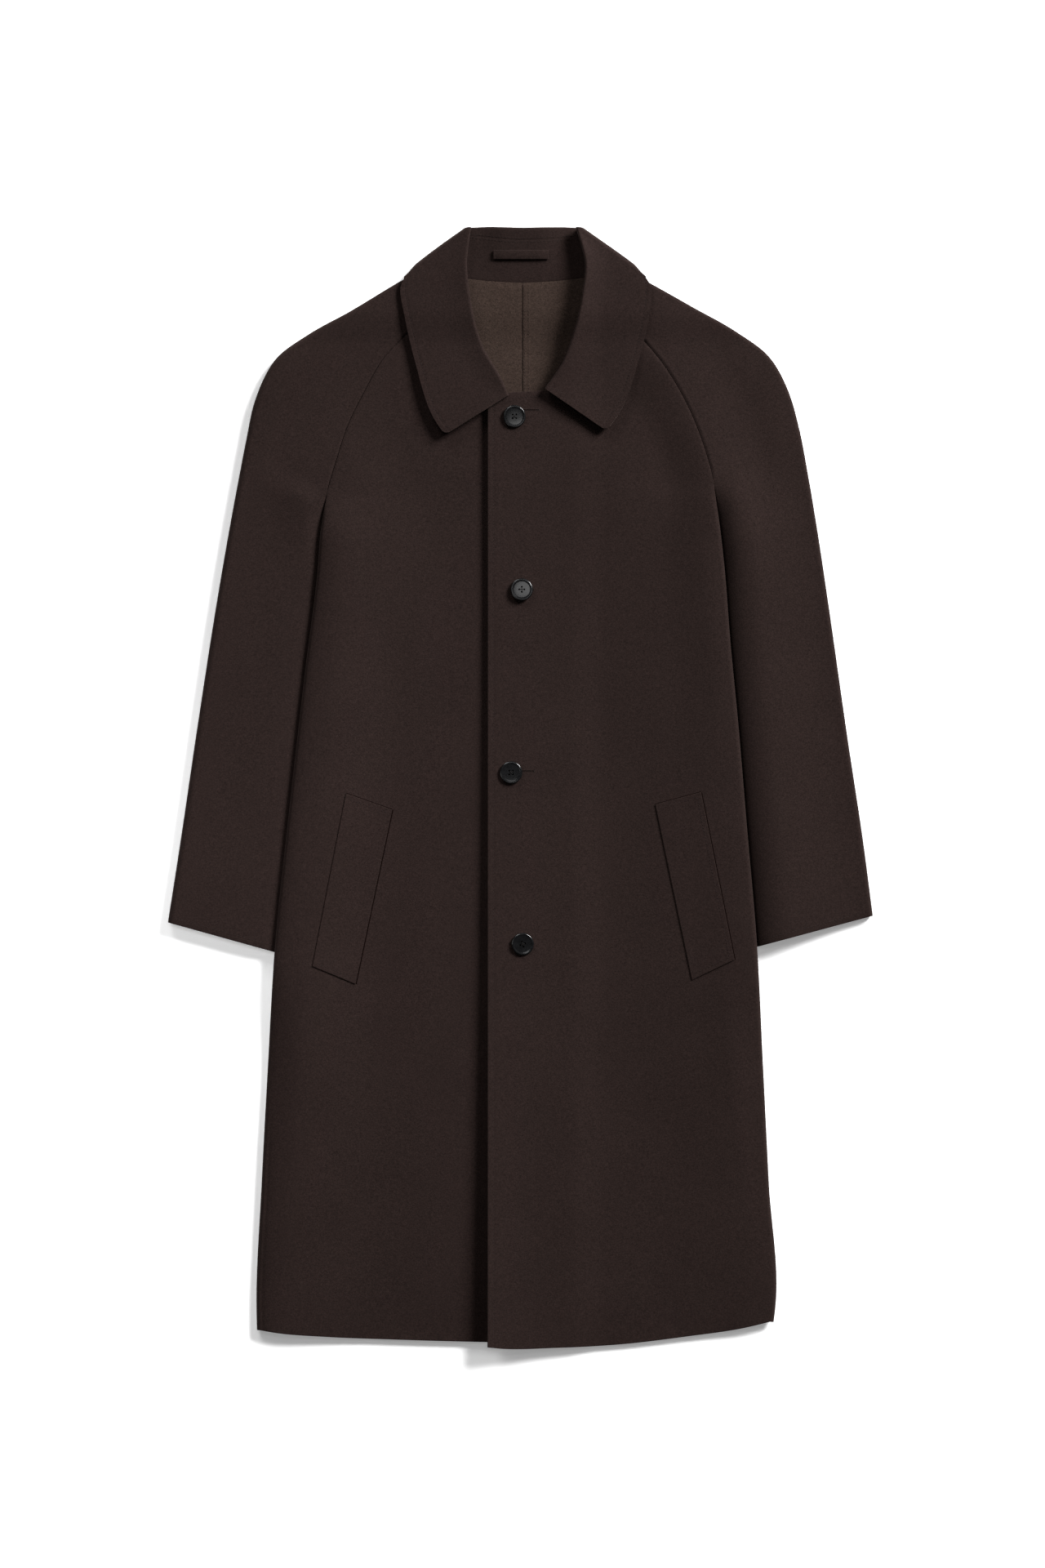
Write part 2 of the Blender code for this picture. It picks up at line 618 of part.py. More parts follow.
def make_hanger_loop(collection):
    """Bar of cloth sewn to the stand inside the back neck, bowed up between its ends."""
    grid = []
    for row in range(LOOP_ROWS + 1):
        y = LOOP_CENTRE[1] + LOOP_WIDTH * (0.5 - row / LOOP_ROWS)
        line = []
        for column in range(LOOP_COLUMNS + 1):
            along = column / LOOP_COLUMNS
            x = LOOP_CENTRE[0] + LOOP_LENGTH * (along - 0.5)
            bow = LOOP_BOW * ease(4 * along) * ease(4 * (1 - along))
            line.append((x, y, FALL_LIFT + CLOTH + SEAM + bow + LOOP_CLOTH))
        grid.append(line)
    return make_sheet("hanger_loop", grid, LOOP_CLOTH, -1, True, collection, wool())


def button_mesh():
    """Half section of a button, from the middle of its face down its outer side to its back."""
    mesh = bpy.data.meshes.new("button")
    rings = [(ring.radius * MM, 0.0, ring.height * MM) for ring in BUTTON_PROFILE]
    mesh.from_pydata(rings, [(index, index + 1) for index in range(len(rings) - 1)], [])
    mesh.materials.append(horn())
    return mesh


def make_hole_cutter(cutters):
    """Four pins that cut the sewing holes, placed with each button."""
    mesh = bpy.data.meshes.new("button_holes")
    pins = bmesh.new()
    radius = BUTTON_HOLE_RADIUS * MM
    for hole in range(BUTTON_HOLES):
        angle = 2 * pi * hole / BUTTON_HOLES
        place = Vector((cos(angle), sin(angle), 0)) * BUTTON_HOLE_OFFSET * MM
        bmesh.ops.create_cone(pins, cap_ends=True, segments=PIN_SIDES, radius1=radius, radius2=radius,
                              depth=PIN_DEPTH * MM, matrix=Matrix.Translation(place))
    pins.to_mesh(mesh)
    pins.free()
    cutter = bpy.data.objects.new("button_holes", mesh)
    cutter.hide_render = True
    cutter.display_type = "WIRE"
    cutters.objects.link(cutter)
    return cutter


def make_button(number, place, collection, cutters):
    """Four-hole button lying on the upper front, square to its slope."""
    x, y = place
    reach = BUTTON_RADIUS / 2
    slope_x = (front_top("left", x + reach, y) - front_top("left", x - reach, y)) / (2 * reach)
    slope_y = (front_top("left", x, y + reach) - front_top("left", x, y - reach)) / (2 * reach)
    mesh = button_mesh()
    button = bpy.data.objects.new("button_%d" % number, mesh)
    collection.objects.link(button)
    button.location = Vector((x, y, front_top("left", x, y) + TRIM_GAP)) * MM
    button.rotation_euler = (atan2(slope_y, 1), -atan2(slope_x, 1), 0)
    screw = button.modifiers.new("turned", "SCREW")
    screw.axis = "Z"
    screw.steps = BUTTON_STEPS
    screw.render_steps = BUTTON_STEPS
    screw.use_merge_vertices = True
    screw.merge_threshold = 0.00005
    cutter = make_hole_cutter(cutters)
    cutter.location = button.location
    cutter.rotation_euler = button.rotation_euler
    holes = button.modifiers.new("holes", "BOOLEAN")
    holes.operation = "DIFFERENCE"
    holes.object = cutter
    return button


def clear_scene():
    for item in list(bpy.data.objects):
        bpy.data.objects.remove(item, do_unlink=True)


def make_collection(name):
    collection = bpy.data.collections.new(name)
    bpy.context.scene.collection.children.link(collection)
    return collection


def build_coat():
    clear_scene()
    coat = make_collection(COAT_NAME)
    cutters = make_collection(COAT_NAME + "_cutters")
    for side in ("right", "left"):
        make_back(side, coat)
        make_front(side, coat)
        make_sleeve(side, coat)
        make_welt(side, coat)
    make_collar_fall(coat)
    make_collar_stand(coat)
    make_hanger_loop(coat)
    for number, place in enumerate(BUTTONS, start=1):
        make_button(number, place, coat, cutters)


build_coat()
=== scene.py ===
"""Looks of a reversible raglan overcoat in double-faced wool, laid flat with its front side up."""

import json
from collections import defaultdict, namedtuple
from functools import partial
from math import atan2, cos, hypot, pi, radians, sin

import bmesh
import bpy
import numpy as np
from mathutils import Euler, Matrix, Vector
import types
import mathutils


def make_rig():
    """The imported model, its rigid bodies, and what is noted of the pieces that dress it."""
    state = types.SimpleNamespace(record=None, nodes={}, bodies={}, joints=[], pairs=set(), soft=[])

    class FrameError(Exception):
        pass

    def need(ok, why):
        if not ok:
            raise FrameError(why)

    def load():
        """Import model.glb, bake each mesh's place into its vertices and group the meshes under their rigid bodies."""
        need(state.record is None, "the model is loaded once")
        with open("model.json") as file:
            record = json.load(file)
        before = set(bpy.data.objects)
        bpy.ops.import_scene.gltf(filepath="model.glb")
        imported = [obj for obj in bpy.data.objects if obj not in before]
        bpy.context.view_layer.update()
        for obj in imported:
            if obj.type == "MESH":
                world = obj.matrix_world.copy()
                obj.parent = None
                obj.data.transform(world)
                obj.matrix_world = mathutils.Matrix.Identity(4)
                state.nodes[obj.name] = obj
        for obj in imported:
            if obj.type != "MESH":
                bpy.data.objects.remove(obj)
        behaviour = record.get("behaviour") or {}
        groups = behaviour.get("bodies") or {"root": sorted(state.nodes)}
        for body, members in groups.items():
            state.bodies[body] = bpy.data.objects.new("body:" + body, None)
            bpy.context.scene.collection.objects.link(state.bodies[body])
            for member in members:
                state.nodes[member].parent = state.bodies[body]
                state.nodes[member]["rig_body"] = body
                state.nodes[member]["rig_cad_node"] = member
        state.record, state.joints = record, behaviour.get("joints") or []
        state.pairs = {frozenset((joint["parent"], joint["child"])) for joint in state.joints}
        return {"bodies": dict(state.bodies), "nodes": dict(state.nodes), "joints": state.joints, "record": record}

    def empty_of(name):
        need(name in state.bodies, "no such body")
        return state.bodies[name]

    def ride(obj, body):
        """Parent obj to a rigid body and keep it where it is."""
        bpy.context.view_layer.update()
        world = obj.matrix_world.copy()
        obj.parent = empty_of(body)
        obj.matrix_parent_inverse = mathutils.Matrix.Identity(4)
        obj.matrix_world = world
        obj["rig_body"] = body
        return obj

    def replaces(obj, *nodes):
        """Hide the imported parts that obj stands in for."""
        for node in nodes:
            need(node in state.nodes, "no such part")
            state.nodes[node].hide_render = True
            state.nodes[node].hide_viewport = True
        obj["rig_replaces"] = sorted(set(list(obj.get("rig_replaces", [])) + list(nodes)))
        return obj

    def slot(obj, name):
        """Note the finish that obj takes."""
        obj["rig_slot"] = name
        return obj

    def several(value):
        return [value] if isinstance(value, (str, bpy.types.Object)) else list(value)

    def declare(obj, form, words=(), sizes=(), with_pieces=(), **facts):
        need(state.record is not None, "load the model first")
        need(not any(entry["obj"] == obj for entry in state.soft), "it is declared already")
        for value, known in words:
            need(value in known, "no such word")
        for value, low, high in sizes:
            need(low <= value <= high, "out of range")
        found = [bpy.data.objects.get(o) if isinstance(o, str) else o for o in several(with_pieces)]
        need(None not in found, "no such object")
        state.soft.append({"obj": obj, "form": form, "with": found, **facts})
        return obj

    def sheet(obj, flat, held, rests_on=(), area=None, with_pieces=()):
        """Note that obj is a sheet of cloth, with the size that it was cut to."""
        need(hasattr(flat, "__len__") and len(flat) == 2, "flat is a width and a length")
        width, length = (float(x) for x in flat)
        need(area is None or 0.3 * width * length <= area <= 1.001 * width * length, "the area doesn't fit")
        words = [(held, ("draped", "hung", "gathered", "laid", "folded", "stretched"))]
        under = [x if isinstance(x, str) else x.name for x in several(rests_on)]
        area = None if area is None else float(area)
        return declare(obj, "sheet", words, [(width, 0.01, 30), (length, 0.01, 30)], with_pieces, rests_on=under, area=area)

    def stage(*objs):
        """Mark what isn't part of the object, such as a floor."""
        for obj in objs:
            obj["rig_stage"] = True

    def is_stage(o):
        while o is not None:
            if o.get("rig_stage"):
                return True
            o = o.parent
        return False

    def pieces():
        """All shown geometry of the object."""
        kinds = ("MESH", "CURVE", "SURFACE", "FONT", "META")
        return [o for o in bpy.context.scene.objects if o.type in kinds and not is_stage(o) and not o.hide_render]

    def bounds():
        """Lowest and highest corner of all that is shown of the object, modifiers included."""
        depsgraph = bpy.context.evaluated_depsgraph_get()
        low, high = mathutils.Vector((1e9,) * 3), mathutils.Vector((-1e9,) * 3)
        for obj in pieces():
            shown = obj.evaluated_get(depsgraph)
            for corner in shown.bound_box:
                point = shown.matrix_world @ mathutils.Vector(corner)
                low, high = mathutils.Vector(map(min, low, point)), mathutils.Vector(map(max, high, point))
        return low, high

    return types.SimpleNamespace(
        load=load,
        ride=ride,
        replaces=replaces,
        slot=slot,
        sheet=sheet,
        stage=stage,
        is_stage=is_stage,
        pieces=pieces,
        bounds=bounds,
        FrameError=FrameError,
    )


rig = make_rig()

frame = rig.load()
cad_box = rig.bounds()

MM = 0.001
BODY = "root"
SIGN = {"right": -1, "left": 1}


def table(kind, rows):
    """Rows of numbers as named tuples."""
    return [kind(*row) for row in rows]


# Sizes of the laid-out coat in millimetres; ramps are given as start and length
CLOTH = 2.2
AIR = 1.1
SEAM = 0.4
HIDDEN_SEAM = -0.2            # hidden seams lap a little, so that no light comes through
STAND_GAP = 0.15
RIM = 0.75
CENTRE_X = 2.2
HEM_STEP = 5.0                # height of the back hem over the front hem
HEM_START = 5.0               # distance from the centre at which the curve of the back hem begins
OVERLAP_EDGE_X = -34.8
UNDERLAP_EDGE_X = 40.0
NECK_CORNER_Y = {"right": 416.0, "left": 412.0}
NECK_BEND = (-11.0, 420.6)
OVERLAP_RAMP_X = (52.0, 40.0)
EDGE_LIFT = (2.8, 13.0)       # lift of the front edge at the chest and at the hem
EDGE_LIFT_START_Y = 200.0
EDGE_LIFT_WIDTH = 110.0
EDGE_LIFT_CURVE = 1.5
FALL_RAMP_Y = (469.0, 41.0)
SIDE_PUFF = {"right": 1.2, "left": 3.5}
SIDE_PUFF_WIDTH = 70.0
SIDE_PUFF_RISE = 60.0
SIDE_BULGE = {"right": 5.5, "left": 1.0}
SIDE_BULGE_WIDTH = 130.0
SIDE_BULGE_ONSET = 9.0
ARMPIT_PUFF = 0.8
ARMPIT_PUFF_END = (85.0, 65.0)
TUCK_FLAT = 28.0
TUCK_WIDTH = {"right": 80.0, "left": 145.0}
TUCK_RISE = 28.0
TUCK_END = (4.0, 126.0)       # below the cuff, where the body comes down again
BRIDGE_END = (4.0, 256.0)     # the same for the front, which bridges the step
BRIDGE_INSET = 40.0
ARMPIT_LEAD = 130.0           # length of raglan seam over which front and sleeve rise towards the armpit
ARMPIT_WIDTH = 70.0
ARMPIT_LEAN = 20.0
EARLY_RISE = 0.85
RAGLAN_RIDGE = {"right": 0.8, "left": 5.8}
RAGLAN_RIDGE_TOP = 520.0
RAGLAN_RIDGE_FADE = 70.0
RAGLAN_RIDGE_WIDTH = {"front": 58.0, "sleeve": 64.0}
RAGLAN_DENT_FADE = 12.0
SLEEVE_AIR = 1.4
SLEEVE_PUFF = {"right": 7.0, "left": 3.0}
SHOULDER_CROWN = 7.0
ARMPIT_TUCK = 2.6             # reach of the sleeve under the body just below the armpit
EDGE_RISE_INSET = 26.0
WRAP = 12.0
LAYER_GAP = 1.6
FOLD_PRESS = 0.5
FOLD_TIP = (0.8, 0.2)         # share of the fall over which the side folds narrow to its edge
FOLD_TIP_PRESS = 0.97
BACK_ROLL_LIFT = 6.0          # height of the back roll over the pressed collar
BACK_ROLL_HALF = 56.0
BACK_ROLL_FADE = 40.0
TIP_RADIUS = 7.0              # rounding of the collar tips
TURN_SHORTENING = 0.4
TURN_ONSET = (0.0, 55.0)      # below the armpit, where the side folds come to turn fully

LAYERS = 2 * CLOTH + AIR
ROLL_RADIUS = (CLOTH + LAYER_GAP) / 2
FALL_LIFT = 2 * ROLL_RADIUS
SLEEVE_STACK = LAYERS + SLEEVE_AIR
SIDE_RADIUS = {side: (LAYERS + puff - SEAM) / 2 for side, puff in SIDE_PUFF.items()}
UNDERARM_RADIUS = (LAYERS - SEAM) / 2

# Soft roll of the sleeves beside the body, with its onset in rows below the armpit
SleeveRoll = namedtuple("SleeveRoll", "height width lip onset")
SLEEVE_ROLL = {"right": SleeveRoll(1.0, 45, 3.2, 0.9), "left": SleeveRoll(12.0, 40, 3.0, 2.2)}
SLEEVE_ROLL_START = 1.5       # how far under the body's side fold the roll begins
SLEEVE_ROLL_CURVE = 1.9
SLEEVE_ROLL_SHARE = 1.15
SLEEVE_LIP_WIDTH = 3.5
ROLL_WAVE = 0.35
ROLL_WAVE_RATE = 2.3

# Ramps along the sleeve in rows of its table, from the neck or from the armpit
CROWN_IN = (0.6, 1.5)
CROWN_OUT = (5.0, 2.5)
WAVE_IN = (2.0, 2.0)
UNDERARM_ONSET = 1.5
TUCK_IN_BELOW = (0.0, 0.3)
TUCK_OUT_BELOW = (1.0, 1.5)
RISE_OUT_BELOW = (0.1, 3.3)
EDGE_RISE_OUT_BELOW = (0.0, 1.5)
BEAD_OUT_BELOW = (-0.4, 0.8)

# Sleeve sections from neck to cuff: the seam or inner edge beside the body, and the overarm fold
SleeveSection = namedtuple("SleeveSection", "seam_x seam_y fold_x fold_y back_x back_y puff")
ARMPIT_ROW = 6
SLEEVES = {
    "right": table(SleeveSection, [
        (-91, 512, -98.7, 555, -76, 544.5, 0.05),
        (-122, 482, -137, 534, -110, 500, 0.1),
        (-146, 457, -180, 508, -136, 467, 0.5),
        (-168, 418.5, -227, 482, -161, 425, 0.8),
        (-184, 385.5, -261, 456, -180, 388, 1.0),
        (-196, 349, -283, 412, -195, 350, 1.0),
        (-205, 318.5, -292.5, 369, -205, 318.5, 1.0),
        (-211, 289, -301, 325, -211, 289, 1.0),
        (-210, 243, -309, 282, -210, 243, 1.0),
        (-211, 150, -324, 195, -211, 150, 1.0),
        (-219, 20, -345, 60, -219, 20, 1.0),
        (-231, -100, -363, -62, -231, -100, 1.0),
        (-239, -182, -375.8, -144, -239, -182, 1.0),
    ]),
    "left": table(SleeveSection, [
        (97, 513, 104.8, 555, 80, 544.5, 0.05),
        (120, 488, 144, 534, 112, 505, 0.1),
        (146, 459, 183, 512, 139, 467, 0.5),
        (168, 426, 230, 485.5, 163, 430, 0.8),
        (184, 394, 265, 459, 181, 396, 1.0),
        (196, 362, 285, 424, 195, 363, 1.0),
        (205, 330, 298, 379, 205, 330, 1.0),
        (209.5, 300, 306.5, 334, 209.5, 300, 1.0),
        (209, 252, 314.5, 287, 209, 252, 1.0),
        (206, 155, 328, 198, 206, 155, 1.0),
        (214, 25, 348, 58, 214, 25, 1.0),
        (224, -95, 366, -62, 224, -95, 1.0),
        (229, -176, 375.7, -137, 229, -176, 1.0),
    ]),
}

# Side folds of the body from armpit to hem, and front hems from the front edge to the side fold
Place = namedtuple("Place", "x y")
SIDES = {
    "right": table(Place, [
        (-205, 318.5), (-212.5, 277), (-216, 232), (-228.5, 131), (-245.4, -16),
        (-262, -175), (-269, -292), (-276, -423), (-281.5, -553), (-281, -578.5),
    ]),
    "left": table(Place, [
        (205, 330), (211, 289), (217.2, 236), (223.5, 157), (232.4, 64),
        (241, -39), (252.2, -170), (258.5, -292), (265, -423), (272, -553),
        (270, -570),
    ]),
}
HEMS = {
    "right": table(Place, [
        (UNDERLAP_EDGE_X, -592.5), (-37, -591.3), (-137, -588.7), (-207, -586),
        (-259, -582), (-281, -578.5),
    ]),
    "left": table(Place, [
        (OVERLAP_EDGE_X, -596), (-20, -597.6), (37, -597.3), (107, -594),
        (176, -586.2), (237, -577.6), (270, -570),
    ]),
}

# Collar sections from the front end to the side fold, then the fold and the half back to the centre
CollarSection = namedtuple("CollarSection", "roll_x roll_y edge_x edge_y neck_x neck_y loft raised turn")
COLLAR_FRONT = {
    "right": table(CollarSection, [
        (-12.5, 417.5, -80.5, 375, -10.5, 415, 0, 6.0, 0.35),
        (-19.6, 434, -93.5, 395, -37, 423.5, 2, 5.0, 1),
        (-41.3, 473, -112.7, 455, -72, 463.5, 3, 2.8, 1),
        (-52.6, 517, -123, 499.5, -91, 512, 3.5, 1.6, 1),
        (-57, 560, -128, 530, -95, 533, 3.5, 0.8, 1),
    ]),
    "left": table(CollarSection, [
        (25.7, 424.6, 91.8, 379.3, 14, 422, 0, 5.0, 0.35),
        (40.5, 445.4, 107.4, 402, 42, 425, 3, 4.0, 1),
        (56.1, 483.7, 125.7, 454, 77, 465, 6, 4.0, 1),
        (65.7, 525.5, 137, 501, 97, 513, 8.5, 3.2, 1),
        (68.6, 560, 139.6, 530, 101, 534, 8.5, 1.6, 1),
    ]),
}
COLLAR_FOLD = {
    "right": CollarSection(-53, 596.2, -123.5, 543, -95.5, 554, 2.5, 0.3, 1),
    "left": CollarSection(59.5, 596, 133, 543.5, 101.5, 554, 3.5, 0.4, 1),
}
COLLAR_BACK = {
    "right": table(CollarSection, [
        (-32.6, 597, -84.8, 529, -76, 544.5, 0, 0, 1),
        (-15, 596.6, -42, 524, -36, 539.8, 0, 0, 1),
    ]),
    "left": table(CollarSection, [
        (45.7, 596.8, 93.5, 529, 80, 544.5, 0, 0, 1),
        (20, 596.5, 46, 524, 40, 539.8, 0, 0, 1),
    ]),
}
COLLAR_CENTRE = CollarSection(CENTRE_X, 596.2, CENTRE_X, 522, CENTRE_X, 537.7, 0, 0, 1)
RAGLAN_SECTION = 3
STAND_START = 1.5
COLLAR_END_ROW = 0.25         # position of the stitch row along the front ends
STAND_STITCH_INSETS = (WRAP - 1.6, WRAP + STAND_GAP + 2.6)
STAND_STITCH_LIFT = 0.1

# Corners of the slanted welts as seen from above, with the collar at the top
Welt = namedtuple("Welt", "top_left top_right bottom_right bottom_left")
WELTS = {
    "right": Welt((-185.7, -6.5), (-136.6, -23.9), (-175.7, -209.7), (-221.4, -190.5)),
    "left": Welt((143.6, -18.3), (192.3, -5.2), (227.9, -183.6), (182.7, -205.3)),
}
WELT_CLOTH = 1.0
WELT_GAP = 0.15
WELT_RIM = 0.4
WELT_STITCH_DOWN = 5.0 / 190  # shares of a welt between its edges and its stitch rows
WELT_STITCH_ACROSS = 5.0 / 50
WELT_SEAM_SHADE_HALF = 0.6          # half widths of the lines of painted shade along a welt and at its upper end
WELT_END_SHADE_HALF = 0.4

LOOP_CENTRE = Place(0.5, 567.2)
LOOP_LENGTH = 59.0
LOOP_WIDTH = 10.0
LOOP_CLOTH = 1.6
LOOP_RIM = 0.6
LOOP_BOW = 0.5
LOOP_BOW_RATE = 6.0
LOOP_CROWN = 0.5
LOOP_STITCH_LIFT = 0.35

# Allowance of the centre back seam on the reverse face
BACK_SEAM_CLOTH = 0.75
BACK_SEAM_RIM = 0.35
BACK_SEAM_X = (CENTRE_X + 0.5, CENTRE_X + 8.0)
BACK_SEAM_Y = (536.0, 395.0)
BACK_SEAM_STITCHES = (CENTRE_X + 2.2, CENTRE_X + 6.4)

# Buttons from the neck down: place, turn of the holes and lean of the face, in degrees,
# and the ends of the buttonhole beside it
Button = namedtuple("Button", "x y turn lean_x lean_y hole_start hole_end hole_y")
BUTTONS = table(Button, [
    (-6.5, 395.0, 45, 1.0, 1.5, -8, 19.6, 402.0),
    (1.3, 210.5, 0, -5.5, 1.2, -6, 14.2, 210.5),
    (-10.0, 15.7, 45, 0.5, -1.5, -12, 14.4, 17.4),
    (2.2, -167.0, 20, 1.5, 2.0, -11.7, 14, -166.0),
])
BUTTON_RADIUS = 12.0
BUTTON_GAP = 0.4
ButtonRing = namedtuple("ButtonRing", "radius height")
BUTTON_PROFILE = table(ButtonRing, [
    (0, 2.3), (4.0, 2.32), (8.4, 2.36), (8.9, 2.4),
    (9.4, 2.5), (10.0, 2.68), (10.5, 2.78), (11.0, 2.75),
    (11.45, 2.55), (11.8, 2.15), (BUTTON_RADIUS, 1.6), (11.6, 1.0),
    (10.6, 0.4), (9.4, 0.1), (8.6, 0), (0, 0),
])
BUTTON_STEPS = 64
HOLE_RADIUS = 1.0
HOLE_OFFSET = 2.7
STRAND_HEIGHTS = (2.45, 2.6)  # of the two crossing strands of thread
STRAND_DIP = 1.2
HOLE_LIP = (0.35, 1.0)        # ends of a buttonhole stitch, from the middle of the slit
HOLE_LIP_PITCH = 0.75
HOLE_LIP_LEAN = 0.1
# half width of the strip of painted shade in a buttonhole slit
SLIT_SHADE_HALF = 0.4

# Soft troughs (negative depth) and ridges of the fronts: ends, half width and depth
Crease = namedtuple("Crease", "start_x start_y end_x end_y width depth")
CREASES = {
    "left": table(Crease, [
        (138, 455, 170, 235, 20, -0.9), (92, 420, 108, 200, 34, 1.2),
        (204, 300, 220, 60, 20, 1.0), (100, 200, 120, 20, 45, 0.8),
        (60, -60, 70, -220, 40, 1.0), (52, -260, 62, -590, 40, 2.4),
        (200, -260, 214, -580, 42, 2.6),
    ]),
    "right": table(Crease, [
        (-190, 340, -206, 20, 22, 1.0), (-108, 340, -114, 40, 26, 1.2),
        (-90, -60, -100, -380, 50, 1.3), (-228, -240, -244, -560, 36, 2.0),
        (-100, -400, -104, -590, 34, 1.2),
    ]),
}
CREASE_SPREAD = 0.45          # share of a crease's length over which it fades
SWELL = 0.25                  # long uneven waves of cloth laid out by hand
BACK_HOLLOW = 0.5

# Where the creases and the hollows of the back fade out: width at the side, and ramps at hem and neck
Fade = namedtuple("Fade", "side hem neck")
CREASE_FADE = Fade(30.0, (-596.0, 40.0), (400.0, -60.0))
HOLLOW_FADE = Fade(40.0, (-590.0, 60.0), (430.0, -60.0))

STITCH_PITCH = 3.4
STITCH_LENGTH = 2.5
STITCH_RADIUS = 0.18
STITCH_INSET = 6.0
STITCH_LIFT = 0.05
REVERSE_STITCH_LIFT = 0.08
# lift of the strips of painted shade over the front
SHADE_LINE_LIFT = 0.08
FRONT_STITCH_Y = (408.0, -594.0)
NECK_STITCH_START = (-26.0, 415.0)
CUFF_STITCH_ROW = 0.08        # rows between the cuff's edge and its stitch row

# Low relief beside an edge: distance from the edge, half width and height
Relief = namedtuple("Relief", "inset width height")
STITCH_DENT = Relief(STITCH_INSET, 1.1, -0.3)
SIDE_TURNING = [Relief(3.0, 1.8, 0.35), Relief(6.2, 0.9, -0.55)]
SIDE_TURNING_RAMP_Y = (-330.0, -60.0)
RAGLAN_DENT = {"front": Relief(0.0, 1.9, -0.55), "sleeve": Relief(0.0, 1.4, -0.5)}
RAGLAN_BEAD = {"right": Relief(3.2, 2.2, 0.2), "left": Relief(3.2, 2.2, 0.25)}

# Rows and columns of the meshes
PanelMesh = namedtuple("PanelMesh", "raglan_rows side_rows columns")
FRONT_MESH = PanelMesh(48, 150, 84)
BACK_MESH = PanelMesh(40, 110, 48)
PANEL_CROWDING = 0.75
TURN_COLUMNS = 8
SLEEVE_ROWS = (48, 110)
SLEEVE_COLUMNS = 56
SLEEVE_CROWDING = 0.4
UNDERARM_COLUMNS = 6
FALL_STEPS = (64, 14, 20)
STAND_STEPS = (40, 14, 20)
STAND_STITCH_STEPS = (8, 6, 40)
COLLAR_CROWDING = 1.5
WELT_MESH = (70, 26)
WELT_CROWDING = 0.5


def ease(share):
    """Smooth step from 0 to 1."""
    share = np.clip(share, 0.0, 1.0)
    return share * share * (3 - 2 * share)


def ramp(value, start, length):
    """Smooth step from 0 at the start to 1 after the length, which is negative for a falling value."""
    return ease((value - start) / length)


def bell(distance, width):
    """Soft bump of height 1 and the given half width."""
    return np.exp(-(distance / width) ** 2)


def relief(distance, *forms):
    """Height of low forms at a distance from their edge."""
    return sum(form.height * bell(distance - form.inset, form.width) for form in forms)


def faded(fade, inset, y):
    """Share of a form that is left near the side, the hem and the neck."""
    return ramp(inset, 0, fade.side) * ramp(y, *fade.hem) * ramp(y, *fade.neck)


def mix(start, end, share):
    """Value part of the way between two others."""
    return (1 - share) * start + share * end


def sample(rows, position):
    """Row of a table at a fractional position, on the smooth curve through its rows."""
    values = np.array(rows, dtype=float)
    index = min(int(position), len(values) - 2)
    step = position - index
    spans = np.linalg.norm(np.diff(values, axis=0), axis=1)
    slopes = np.diff(values, axis=0) / spans[:, None]

    def tangent(row):
        if row == 0 or row == len(values) - 1:
            return slopes[min(row, len(slopes) - 1)]
        before, after = spans[row - 1], spans[row]
        return (slopes[row - 1] * after + slopes[row] * before) / (before + after)

    start, end = values[index], values[index + 1]
    lead = tangent(index) * spans[index]
    trail = tangent(index + 1) * spans[index]
    return (start * (1 + 2 * step) * (1 - step) ** 2 + lead * step * (1 - step) ** 2
            + end * step ** 2 * (3 - 2 * step) + trail * step ** 2 * (step - 1))


def curve(rows, steps):
    return [tuple(sample(rows, (len(rows) - 1) * step / steps)) for step in range(steps + 1)]


def sleeve_section(side, position):
    return SleeveSection(*sample(SLEEVES[side], position))


def collar_front_section(side, position):
    section = CollarSection(*sample(COLLAR_FRONT[side] + [COLLAR_FOLD[side]], position))
    return section._replace(turn=min(section.turn, 1.0))


def lengths_along(points):
    """Length from the first point to each point of a polyline."""
    steps = np.linalg.norm(np.diff(points, axis=0), axis=1)
    return np.concatenate(([0], np.cumsum(steps)))


def along_polyline(points, shares):
    """Points at shares of the length of a polyline."""
    points = np.array(points, dtype=float)
    lengths = lengths_along(points)
    targets = np.asarray(shares) * lengths[-1]
    return np.stack([np.interp(targets, lengths, values) for values in points.T], axis=-1)


def spread(start, end, count=60):
    """Points on a straight line in plan."""
    return mix(np.array(start, dtype=float), np.array(end, dtype=float), np.linspace(0, 1, count)[:, None])


def bend(distance, length, angle):
    """Outward reach and turn-down of a strip that bends evenly through an angle over its length."""
    if angle < 1e-3:
        return distance, distance * 0.0
    radius = length / angle
    turned = angle * distance / length
    return radius * np.sin(turned), radius * (1 - np.cos(turned))


def crowded(count, crowding):
    """Shares from 0 to 1 that crowd towards both ends."""
    even = np.linspace(0, 1, count + 1)
    return mix(even, (1 - np.cos(pi * even)) / 2, crowding)


# Heights of the layers over the surface

def fall_lift(y):
    return FALL_LIFT * ramp(y, *FALL_RAMP_Y)


def side_inset(side, x, y):
    """Distance from the side fold towards the middle of the body."""
    rows = SIDES[side][::-1]
    edge = np.interp(y, [row.y for row in rows], [row.x for row in rows])
    return SIGN[side] * (edge - x)


def below_armpit(side, y, start, length):
    return ramp(SIDES[side][0].y - y, start, length)


def armpit_rise(side, y, lead):
    """Share of the rise over the sleeve, with an early soft part where the cloth bridges it."""
    early = EARLY_RISE if lead else 0.0
    return mix(below_armpit(side, y, 0, TUCK_RISE), below_armpit(side, y, -lead, TUCK_RISE + lead), early)


def raglan_ridge(side, y, inset, panel):
    """Soft ridge along the lower half of the raglan seam."""
    along = ramp(y, RAGLAN_RIDGE_TOP, -RAGLAN_RIDGE_FADE) * (1 - below_armpit(side, y, 0, RAGLAN_RIDGE_FADE))
    return RAGLAN_RIDGE[side] * along * (1 - ramp(inset, 0, RAGLAN_RIDGE_WIDTH[panel]))


